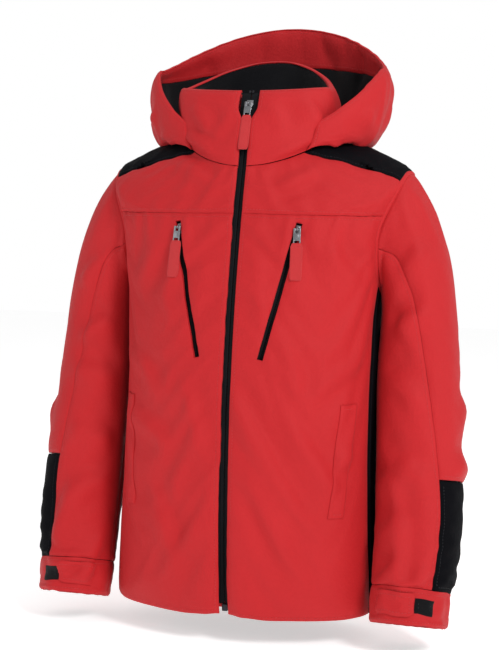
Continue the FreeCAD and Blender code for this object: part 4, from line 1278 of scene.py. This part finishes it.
# ------------------------------------------------------------------ sleeves
def sleeve_grid(side, left, right, low, high, columns, rows, moved=True):
    """A grid of a sleeve between two seams, given by row, and two rows."""
    column, row = np.meshgrid(columns, low + (high - low) * rows, indexing="ij")
    start, end = left(row), right(row)
    degrees = end + (start - end) * column
    points = sleeve_point(degrees, row)
    if moved:
        points = points + SLEEVE_MOVED[side].read(degrees, row)
    if side == "right":
        points = points[::-1] * np.array([-1, 1, 1])
        return points, degrees[::-1], row[::-1]
    return points, degrees, row


def sleeve(side):
    gap = math.degrees(SEAM_GAP / ARM_RADIUS)
    share = lambda row: np.clip(row / 5.5, 0, 1) ** 1.3
    front_seam = lambda row: SLEEVE_SEAM_HEAD + (SLEEVE_SEAM[side] - SLEEVE_SEAM_HEAD) * share(row)
    at = lambda value: (lambda row: value + 0.0 * row)
    full = SLEEVE_SEAM_SINK
    plan = {
        "sleeve_front": (at(-180 + gap), lambda r: front_seam(r) - gap, 0.004, CUFF_ROW - 0.006,
                         (105, 440), "shell_red", ["front", "low"]),
        "sleeve_outer": (lambda r: front_seam(r) + gap, at(SLEEVE_BACK_SEAM - gap), 0.004,
                         FOREARM_ROW - 0.006, (140, 310), "shell_red", ["front", "high"]),
        "sleeve_back": (at(SLEEVE_BACK_SEAM + gap), at(180 - gap), 0.004, CUFF_ROW - 0.006,
                        (95, 440), "shell_red", ["back"]),
        "forearm_panel": (lambda r: front_seam(r) + gap, at(SLEEVE_BACK_SEAM - gap),
                          FOREARM_ROW + 0.006, CUFF_ROW - 0.006, (120, 120), "shell_black",
                          ["left", "right", "high"]),
        "cuff": (at(-180 + gap), at(180 - gap), CUFF_ROW + 0.006, CUFF_END, (320, 48),
                 "shell_red", ["low", "high"]),
    }
    red, black = [], []
    for name, (left, right, low, high, size, slot, edges) in plan.items():
        points, _, _ = sleeve_grid(side, left, right, low, high, spaced(size[0], 4),
                                   spaced(size[1], 4))
        swap = {"front": "left" if side == "left" else "right",
                "back": "left" if side == "right" else "right"}
        edges = [swap.get(edge, edge) for edge in edges]
        sinks = (full, full, full, 1.6 if name == "cuff" else full)
        piece, lines = sewn(f"{name}_{side}", points, slot, sinks, edges,
                            puff=1.0 if name == "cuff" else PUFF)
        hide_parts(f"{name}_{side}")
        sleeve_hangs(piece)
        (black if slot == "shell_black" else red).extend(lines)
    sleeve_hangs(stitched(f"sleeve_stitching_{side}", red, THREAD_RED))
    sleeve_hangs(stitched(f"forearm_stitching_{side}", black, THREAD_BLACK))

    points, _, row = sleeve_grid(side, at(-180 + gap), at(180 - gap), 0.66, CUFF_END - 0.012,
                                 spaced(300, 8), spaced(440, 7))
    depth = 7.6 - 4.0 * np.clip((row - 7.86) / 0.128, 0, 1)
    tube, _ = lined(f"sleeve_lining_{side}", points, depth, 1.2, "lining_black")
    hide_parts(f"sleeve_lining_{side}")
    sleeve_hangs(tube)


def sleeve_hangs(piece):
    """Bakes the piece's placing into its mesh; the sleeve stays as it is made."""
    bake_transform(piece)


def raised(points, height):
    return points + grid_normals(points) * height


def cuff_strap(side):
    free = TAB_FREE[side]
    at = lambda value: (lambda row: value + 0.0 * row)
    points, degrees, _ = sleeve_grid(side, at(free + 1.2), at(free + 30.0), 7.24, 7.66,
                                     spaced(26, 1.6), spaced(20, 1.6))
    plush, lines = sewn(f"cuff_patch_{side}", raised(points, 1.5), "loop_tape",
                        (0.4, 0.4, 0.4, 0.4), ["left", "right"], wall=1.0, puff=0.2)
    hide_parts(f"cuff_patch_{side}")
    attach(plush, "sleeve_" + side)
    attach(stitched(f"cuff_patch_stitching_{side}", lines, THREAD_BLACK), "sleeve_" + side)
    points, degrees, row = sleeve_grid(side, at(TAB_SEWN), at(free), 7.1, 7.74,
                                       spaced(56, 2.2), spaced(30, 2.2))
    tip = np.clip((degrees - free + 9) / 9, 0, 1)
    middle = 7.42
    points_row = middle + (row - middle) * (1 - 0.22 * tip ** 2)
    base = sleeve_point(degrees, points_row) + SLEEVE_MOVED[side].read(degrees, points_row)
    if side == "right":
        base = base * np.array([-1, 1, 1])
    tab, lines = sewn(f"cuff_tab_{side}", raised(base, 3.2), "shell_red", (0.7, 0.7, 0.7, 0.7),
                      ["low", "high", "left", "right"], wall=1.8, puff=0.5)
    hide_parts(f"cuff_tab_{side}")
    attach(tab, "cuff_strap_" + side)
    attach(stitched(f"cuff_tab_stitching_{side}", lines, THREAD_RED), "cuff_strap_" + side)


def armhole_seam(side):
    """The seam's turned-in edges, a soft roll of cloth round the inside of the armhole."""
    turn = np.linspace(0, 2 * math.pi, 13)[:-1]
    centre = LOOP.mean(0)
    inward = centre - LOOP
    inward[:, 0] = 0
    inward /= np.linalg.norm(inward, axis=1, keepdims=True)
    core = LOOP + np.array([-2.9, 0, 0])
    out = np.array([1.0, 0, 0])
    rings = [core + 3.4 * (math.cos(t) * inward + math.sin(t) * out) for t in turn]
    points = np.stack(rings, 1)
    if side == "right":
        points = points[::-1] * np.array([-1, 1, 1])
    count, around = points.shape[:2]
    index = np.arange(count * around).reshape(count, around)
    a, b = index, np.roll(index, -1, 0)
    quads = np.stack([a, b, np.roll(b, -1, 1), np.roll(a, -1, 1)], -1).reshape(-1, 4)
    roll = mesh_piece("armhole_seam_" + side, points.reshape(-1, 3), quads, RED,
                      "shell_red", np.zeros((count * around, 2)))
    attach(roll, "jacket_body")


for one_side in SIDES:
    armhole_seam(one_side)
    sleeve(one_side)
    cuff_strap(one_side)


# ------------------------------------------------------------------ zips
TAPE_HALF, TAPE_WALL, MAIN_TAPE_DEPTH, CHEST_TAPE_DEPTH = 12.0, 1.0, 5.5, 6.3
CHEST_TAPE_HALF, SLIT = 9.0, 0.5
SLIDER_LENGTH, SLIDER_GAP = 14.0, 0.3
MAIN_SLIDER_Z, PIVOT_DEPTH, PULLER_LENGTH, ARM_HALF = 38.0, -2.3, 20.0, 4.6
COIL_PITCH = 1.7


def tape_and_coil(name, line, half, s0, s1, depth, node):
    """One side's tape with its woven ribs."""
    x0, x1 = sorted((math.copysign(SLIT, half), half))
    grid = line.strip(x0, x1, s0, s1, depth, columns=24, step=4.0)
    ribs = 0.12 * np.cos(np.linspace(0, 9 * math.pi, 24))[:, None]
    edge = np.linspace(0, 1, 24)
    seam = np.abs(edge if half > 0 else 1 - edge)
    roll = 0.5 * np.exp(-(seam / 0.05) ** 2)[:, None]
    normals = grid_normals(grid)
    tape = cloth_piece(name, grid + normals * (ribs - roll)[..., None], TAPE_WALL, "zip_tape")
    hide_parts(node)
    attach(tape, "jacket_body")


def teeth(name, line, s0, s1, depth, nodes):
    """A nylon coil's loops, one small tooth at each step on either side."""
    points, faces = [], []
    name = title(name, "teeth")
    count = int((s1 - s0) / COIL_PITCH)
    s = s0 + COIL_PITCH * (np.arange(count) + 0.5)
    for side in (-1, 1):
        shift = s + (0.25 if side > 0 else -0.25) * COIL_PITCH
        corners = []
        for x, d, grow in ((0.1, 0.3, 0.8), (2.0, 0.1, 1.0), (2.5, 1.0, 1.0), (2.0, 1.9, 1.0),
                           (0.1, 1.7, 0.8)):
            for along in (-0.32, 0.32):
                corners.append(line.at(side * x + 0 * s, shift + along * COIL_PITCH * grow,
                                       depth + d + 0 * s))
        block = np.stack(corners, 1)
        base = sum(len(p) for p in points) + 10 * np.arange(count)[:, None]
        order = [0, 2, 4, 6, 8]
        rings = [[a, b, b + 1, a + 1] for a, b in zip(order, order[1:] + order[:1])]
        turned = side < 0
        for face in rings:
            faces.append(base + np.array(face[::-1] if turned else face))
        for cap in ([8, 6, 4, 2, 0], [1, 3, 5, 7, 9]):
            cap = cap[::-1] if turned else cap
            for fan in ([cap[0], cap[1], cap[2], cap[2]], [cap[0], cap[2], cap[3], cap[4]]):
                faces.append(base + np.array(fan))
        points.append(block.reshape(-1, 3))
    loops = [list(dict.fromkeys(face)) for face in np.concatenate(faces).tolist()]
    mesh = bpy.data.meshes.new(name)
    mesh.from_pydata(np.concatenate(points) * MM, [], loops)
    mesh.materials.append(COIL_BLACK)
    piece = bpy.data.objects.new(name, mesh)
    bpy.context.scene.collection.objects.link(piece)
    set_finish(piece, "zip_coil")
    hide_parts(*nodes)
    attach(piece, "jacket_body")


def rounded(size, place, bevel, segments=2):
    """A block with rounded edges, in millimetres, in local axes."""
    bpy.ops.object.select_all(action="DESELECT")
    bpy.ops.mesh.primitive_cube_add(size=1, location=tuple(v * MM for v in place))
    block = bpy.context.active_object
    block.scale = tuple(v * MM for v in size)
    bpy.ops.object.transform_apply(location=True, rotation=False, scale=True)
    edge = block.modifiers.new("edge", "BEVEL")
    edge.width, edge.segments, edge.limit_method = bevel * MM, segments, "ANGLE"
    bpy.ops.object.modifier_apply(modifier="edge")
    return block


def rod(radius, length, place, turn, segments=20):
    bpy.ops.object.select_all(action="DESELECT")
    bpy.ops.mesh.primitive_cylinder_add(vertices=segments, radius=radius * MM, depth=length * MM,
                                        location=tuple(v * MM for v in place), rotation=turn)
    bar = bpy.context.active_object
    bpy.ops.object.transform_apply(location=True, rotation=True, scale=True)
    edge = bar.modifiers.new("edge", "BEVEL")
    edge.width, edge.segments, edge.limit_method = 0.25 * MM, 2, "ANGLE"
    bpy.ops.object.modifier_apply(modifier="edge")
    return bar


def eye(radius, thick, place):
    bpy.ops.object.select_all(action="DESELECT")
    bpy.ops.mesh.primitive_torus_add(major_radius=radius * MM, minor_radius=thick * MM,
                                     major_segments=28, minor_segments=10,
                                     location=tuple(v * MM for v in place),
                                     rotation=(0, math.pi / 2, 0))
    ring = bpy.context.active_object
    bpy.ops.object.transform_apply(location=True, rotation=True, scale=True)
    return ring


def joined(name, parts, matrix, material, slot, body, node):
    bpy.ops.object.select_all(action="DESELECT")
    for part in parts:
        part.select_set(True)
    bpy.context.view_layer.objects.active = parts[0]
    if len(parts) > 1:
        bpy.ops.object.join()
    piece = parts[0]
    piece.name = piece.data.name = title(name, "metal")
    piece.data.transform(matrix)
    if not piece.data.uv_layers:
        piece.data.uv_layers.new(name="cloth")
    piece.data.materials.clear()
    piece.data.materials.append(material)
    for face in piece.data.polygons:
        face.use_smooth = True
    only(piece)
    bpy.ops.object.shade_smooth_by_angle(angle=math.radians(40))
    for modifier in list(piece.modifiers):
        bpy.ops.object.modifier_apply(modifier=modifier.name)
    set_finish(piece, slot)
    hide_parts(node)
    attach(piece, body)


def pull_tab(name, matrix, width, length, body):
    """A folded fabric tab: two layers of tape sewn together round the puller's bar."""
    u, v = np.meshgrid(spaced(width, 1.4), spaced(length, 1.6), indexing="ij")
    tip = np.clip((v - 0.86) / 0.14, 0, 1)
    neck = np.clip((0.10 - v) / 0.10, 0, 1)
    half = width / 2 * (1 - 0.20 * tip ** 2.2 - 0.28 * neck ** 1.5)
    x = (2 * u - 1) * half
    z = -PULLER_LENGTH + 2.6 - (length + 2.2) * v
    swell = 0.55 + 0.5 * np.sin(math.pi * np.clip(u, 0, 1)) ** 0.5
    swell = swell + 0.25 * np.exp(-((v - 0.5) / 0.06) ** 2) - 0.35 * tip ** 2 + 0.7 * neck ** 2
    face = np.stack([x, -swell, z], -1)
    back = np.stack([x, swell, z], -1)
    place = np.array(matrix)
    world = lambda p: (p * MM) @ place[:3, :3].T / MM + place[:3, 3] / MM
    outer, inner = world(face), world(back)
    across, along = lengths(outer, 0)[0], lengths(outer, 1)[0]
    uv = np.stack([across, along], -1).reshape(-1, 2)
    faces = grid_faces(*outer.shape[:2])
    normals = grid_normals(outer)
    outward = -place[:3, 1]
    if (normals * outward).sum(-1).mean() < 0:
        faces, normals = faces[:, ::-1], -normals
    piece = mesh_piece(name, np.concatenate([outer.reshape(-1, 3), inner.reshape(-1, 3)]), faces,
                       PULL_RED, "pull_fabric", np.concatenate([uv, uv]))
    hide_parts(name)
    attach(piece, body)
    rows = []
    for share in (0.12, 0.88):
        column = int(round(share * (outer.shape[0] - 1)))
        rows.append((outer[column, 4:-4], normals[column, 4:-4]))
    for row in (0.2, 0.93):
        line = int(round(row * (outer.shape[1] - 1)))
        rows.append((outer[4:-4, line], normals[4:-4, line]))
    thread = stitched(name + "_stitching", rows, THREAD_RED, pitch=2.4, long=1.8, thick=0.3)
    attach(thread, body)


def zip_hardware(name, line, s, half, depth, tab, lean, slider_body, pull_body, suffix=""):
    """Slider, puller and tab of one zip."""
    place = line.matrix(s, 0.0)
    if suffix == "_right":
        flip = Matrix.Scale(-1, 4, (1, 0, 0))
        place = flip @ place @ flip
        lean = -lean
    top = depth - SLIDER_GAP
    back = depth + TAPE_WALL + 0.1 + 2.0 + SLIDER_GAP
    plate = [
        rounded((2 * half, 1.7, SLIDER_LENGTH * 0.62), (0, top - 0.85, 2.2), 0.5, 3),
        rounded((1.55 * half, 1.6, SLIDER_LENGTH * 0.5), (0, top - 0.85, -3.4), 0.5, 3),
        rounded((2 * half - 1.4, 1.2, SLIDER_LENGTH * 0.72), (0, top - 2.1, 0.6), 0.5, 3),
        rounded((2 * half, 1.4, SLIDER_LENGTH - 1), (0, back + 0.7, 0), 0.5, 3),
        rounded((0.7, back - top + 1, SLIDER_LENGTH - 5), (0, (back + top) / 2, 1), 0.1, 1),
        rounded((2.6, 2.2, 2.2), (0, top - 3.1, 3.4), 0.5, 2),
        rounded((2.6, 2.2, 2.2), (0, top - 3.1, -2.6), 0.5, 2),
    ]
    turn = Matrix.Rotation(math.radians(-lean), 4, "Y")
    loop = eye(2.0, 0.62, (0, PIVOT_DEPTH + 0.9, 0))
    loop.data.transform(turn)
    plate.append(loop)
    joined(f"{name}_slider{suffix}", plate, place, METAL, "slider_metal", slider_body,
           f"{name}_slider{suffix}")
    pull = place @ Matrix.Translation((0, PIVOT_DEPTH * MM, 0)) @ turn
    arm = (ARM_HALF - 2.0)
    bars = [
        rounded((arm, 2.0, 8.4), (2.0 + arm / 2, 0, -2.7), 0.55, 3),
        rounded((arm, 2.0, 8.4), (-2.0 - arm / 2, 0, -2.7), 0.55, 3),
        rounded((2 * ARM_HALF, 2.0, 9.2), (0, 0, -9.6), 0.55, 3),
        rounded((1.7, 2.0, 7.2), (ARM_HALF - 0.85, 0, -16.2), 0.5, 3),
        rounded((1.7, 2.0, 7.2), (0.85 - ARM_HALF, 0, -16.2), 0.5, 3),
        rounded((2 * ARM_HALF, 2.0, 2.4), (0, 0, -18.8), 0.55, 3),
        rounded((4.4, 0.5, 4.6), (0, -1.05, -9.4), 0.2, 2),
        rod(0.85, 2 * ARM_HALF - 1.2, (0, 0, 0), (0, math.pi / 2, 0)),
    ]
    joined(f"{name}_puller{suffix}", bars, pull, METAL, "slider_metal", pull_body,
           f"{name}_puller{suffix}")
    pull_tab(f"{name}_pull_tab{suffix}", pull, *tab, pull_body)


def zips():
    foot, arc = 11.4, MAIN_ZIP.arc
    tape_and_coil("main_zip_tape_left", MAIN_ZIP, TAPE_HALF, 5.4, arc - foot, MAIN_TAPE_DEPTH,
                  "main_zip_tape_left")
    tape_and_coil("main_zip_tape_right", MAIN_ZIP, -TAPE_HALF, 5.4, arc - foot, MAIN_TAPE_DEPTH,
                  "main_zip_tape_right")
    teeth("main_zip_coils", MAIN_ZIP, 5.4, arc - foot, MAIN_TAPE_DEPTH + 1.1, ["main_zip_coils"])
    stops = [rounded((7.2, 4.5, 9.0), (0, 0, -4.5), 0.6, 3)]
    place = MAIN_ZIP.matrix(arc - 11, MAIN_TAPE_DEPTH + 0.75)
    for x in (-2.0, 2.0):
        clip = rounded((2.4, 3.2, 3.5), (x, 0, 0), 0.5, 2)
        clip.data.transform(place.inverted() @ MAIN_ZIP.matrix(3.2, MAIN_TAPE_DEPTH + 1.0))
        stops.append(clip)
    joined("main_zip_stops", stops, place, DARK_METAL, "slider_metal", "jacket_body",
           "main_zip_stops")
    top = math.asin((COLLAR_TOP_Z - FRONT_MID_Z) / FRONT_RADIUS)
    here = math.asin((MAIN_SLIDER_Z - FRONT_MID_Z) / FRONT_RADIUS)
    zip_hardware("main", MAIN_ZIP, FRONT_RADIUS * (top - here), 4.3, MAIN_TAPE_DEPTH,
                 (13.0, 44.0), 0.0, "main_zip_slider", "main_zip_pull")
    _, outward, up = CHEST_ZIP.frame(0)
    plumb = np.array([0, 0, 1.0]) - outward * outward[2]
    plumb /= np.linalg.norm(plumb)
    lean = math.degrees(math.acos(np.clip(up.dot(plumb), -1, 1)))
    if np.cross(up, plumb).dot(outward) < 0:
        lean = -lean
    for name, side in SIDES.items():
        for x in (-CHEST_TAPE_HALF, CHEST_TAPE_HALF):
            chest_tape(name, side, x)
        zip_hardware("chest", CHEST_ZIP, SLIDER_LENGTH / 2 + 2, CHEST_ZIP_EDGE - 0.5,
                     CHEST_TAPE_DEPTH, (15.0, 44.0), lean, "chest_zip_slider_" + name,
                     "chest_zip_pull_" + name, "_" + name)


def chest_tape(name, side, x):
    half = "outer" if x * side > 0 else "inner"
    line = CHEST_ZIPS[name]
    tape_and_coil(f"chest_zip_tape_{half}_{name}", line, x, -3, line.arc + 3, CHEST_TAPE_DEPTH,
                  f"chest_zip_tapes_{name}")
    if x > 0:
        teeth(f"chest_zip_coils_{name}", line, -3, line.arc + 3, CHEST_TAPE_DEPTH + 1.1,
              ["chest_zip_coils"])


zips()


# ------------------------------------------------------------------ pockets, flap and loop
def front_strip(side, top, low, width, columns, rows):
    """A grid over the front between two edges that slope the same way."""
    a, b = np.meshgrid(columns, rows, indexing="ij")
    x = low[0] + (top[0] - low[0]) * b + width * a
    z = low[1] + (top[1] - low[1]) * b
    row = 3.0 + 0 * x
    for _ in range(7):
        degrees = angle_at(x, row)
        row = row_at(degrees, z)
    if side < 0:
        degrees, row = 360 - degrees[::-1], row[::-1]
    return body_surface(degrees, row)


def pockets():
    threads = []
    for name, side in SIDES.items():
        welt = front_strip(side, (134, -331), (127, -470), 16, spaced(16, 1.6), spaced(140, 2.4))
        piece, lines = sewn(f"hand_pocket_welt_{name}", raised(welt, 3.7), "shell_red",
                            (1.3, 1.3, 1.0, 1.0), ["low", "high"], wall=1.9, puff=0.7)
        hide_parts(f"hand_pocket_welt_{name}")
        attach(piece, "jacket_body")
        threads += lines
        chest = front_strip(side, (91, -120), (53, -281), 60, spaced(60, 5), spaced(165, 6))
        bag, _ = lined(f"chest_pocket_bag_{name}", chest, 5.0, 2.2, "pocket_cloth")
        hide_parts(f"chest_pocket_bag_{name}")
        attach(bag, "jacket_body")
        hand = front_strip(side, (52, -335), (52, -550), 76, spaced(76, 5), spaced(215, 6))
        bag, _ = lined(f"hand_pocket_bag_{name}", hand, 5.0, 2.2, "pocket_cloth")
        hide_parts("hand_pocket_bags")
        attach(bag, "jacket_body")
    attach(stitched("welt_stitching", threads, THREAD_RED), "jacket_body")
    depth = MAIN_TAPE_DEPTH + 1.0 + 2.0 + 1.5 + 0.3 + 1.2
    grid = MAIN_ZIP.strip(-24, 24, 4, MAIN_ZIP.arc - 4, depth, columns=18, step=7)
    across = np.linspace(-1, 1, 18)[:, None]
    grid = grid - grid_normals(grid) * (0.5 * np.abs(across) ** 3)[..., None]
    flap = cloth_piece("storm_flap", grid, 2.0, "shell_red")
    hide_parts("storm_flap")
    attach(flap, "jacket_body")


def hang_loop():
    """A strap in a half ring with both ends turned in to the neck's lining."""
    radius, width, thick, stand_off, end = 26.0, 8.0, 1.6, 7.0, 8.0
    wall = BODY[-1][2] - 5.0 - 0.3 - 2.5
    y, z = wall - stand_off - width, BODY[-1][5] + 6
    turn = np.linspace(0, math.pi, 40)
    path = [(radius + thick / 2, z - end * 0.4)]
    path += [((radius + thick / 2) * math.cos(t), z + (radius + thick / 2) * math.sin(t))
             for t in turn]
    path += [(-(radius + thick / 2), z - end * 0.4)]
    path = np.array(path)
    ahead = np.gradient(path, axis=0)
    ahead /= np.linalg.norm(ahead, axis=1, keepdims=True)
    aside = np.stack([ahead[:, 1], -ahead[:, 0]], -1)
    share = np.linspace(0, 1, len(path))
    back = stand_off * (np.clip(0.10 - share, 0, 1) + np.clip(share - 0.90, 0, 1)) / 0.10
    outer, inner = [], []
    for across in np.linspace(0, width, 7):
        bulge = 0.25 * math.cos((across / width - 0.5) * math.pi)
        rim = path + aside * (thick / 2 + bulge)
        core = path - aside * (thick / 2)
        outer.append(np.stack([rim[:, 0], y + across + back, rim[:, 1]], -1))
        inner.append(np.stack([core[:, 0], y + across + back, core[:, 1]], -1))
    outer, inner = np.array(outer)[::-1], np.array(inner)[::-1]
    piece = cloth_piece("hang_loop", outer, thick, "loop_tape", inner=inner)
    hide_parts("hang_loop")
    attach(piece, "jacket_body")


pockets()
hang_loop()


# ------------------------------------------------------------------ stage, light and camera
FLOOR_SIZE, FLOOR_BACK, FLOOR_BELOW = 12, 2.0, 0.02
ROOM_LIGHT, ROOM_SEEN = 0.5, 1.0     # how bright the walls light the jacket, and how they look


def stage():
    """A pale floor a little under the jacket, in a white room."""
    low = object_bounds()[0]
    bpy.ops.object.select_all(action="DESELECT")
    bpy.ops.mesh.primitive_plane_add(size=FLOOR_SIZE,
                                     location=(0, FLOOR_BACK, low[2] - FLOOR_BELOW))
    floor = bpy.context.active_object
    floor.name = "floor"
    paper, _, shader = new_material("pale_floor")
    set_inputs(shader, {"Base Color": (0.94, 0.94, 0.94, 1), "Roughness": 0.9,
                        "Emission Color": WHITE, "Emission Strength": ROOM_LIGHT})
    floor.data.materials.append(paper)
    floor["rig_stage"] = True
    world = bpy.data.worlds.new("studio")
    bpy.context.scene.world = world
    world.use_nodes = True
    tree = world.node_tree
    walls = tree.nodes["Background"]
    walls.inputs["Color"].default_value = WHITE
    seen = tree.nodes.new("ShaderNodeLightPath")
    power = node(tree, "ShaderNodeMapRange")
    set_inputs(power, {"To Min": ROOM_LIGHT, "To Max": ROOM_SEEN})
    tree.links.new(seen.outputs["Is Camera Ray"], power.inputs["Value"])
    tree.links.new(power.outputs["Result"], walls.inputs["Strength"])
    bpy.context.scene.view_settings.view_transform = "Standard"


def soft_light(name, place, aim, size, power):
    light = bpy.data.lights.new(name, "AREA")
    light.shape, light.size, light.energy = "DISK", size, power
    lamp = bpy.data.objects.new(name, light)
    lamp.location = place
    lamp.rotation_euler = (Vector(aim) - Vector(place)).to_track_quat("-Z", "Y").to_euler()
    bpy.context.scene.collection.objects.link(lamp)


VIEW_HEIGHT, FILM_HEIGHT = 0.845, 36   # metres seen at the jacket, millimetres of film


def camera():
    azimuth, elevation, roll, distance = 16.0, 3.0, 1.5, 1.8
    aim = Vector((-0.002, 0.0, -0.244))
    a, e = math.radians(azimuth), math.radians(elevation)
    back = Vector((math.sin(a) * math.cos(e), -math.cos(a) * math.cos(e), math.sin(e)))
    lens = bpy.data.cameras.new("camera")
    lens.lens = FILM_HEIGHT * distance / VIEW_HEIGHT
    eye_point = bpy.data.objects.new("camera", lens)
    eye_point.location = aim + back * distance
    turned = (-back).to_track_quat("-Z", "Y").to_matrix().to_4x4()
    turned = turned @ Matrix.Rotation(math.radians(roll), 4, "Z")
    eye_point.rotation_euler = turned.to_euler()
    bpy.context.scene.collection.objects.link(eye_point)
    bpy.context.scene.camera = eye_point


stage()
soft_light("key", (1.9, -1.6, 1.5), (0, 0, -0.2), 0.9, 54)
soft_light("fill", (-2.2, -1.6, 0.5), (0, 0, -0.2), 2.0, 10)
soft_light("top", (0.2, 0.3, 2.2), (0, 0, -0.1), 1.6, 8)
camera()

bpy.context.view_layer.update()
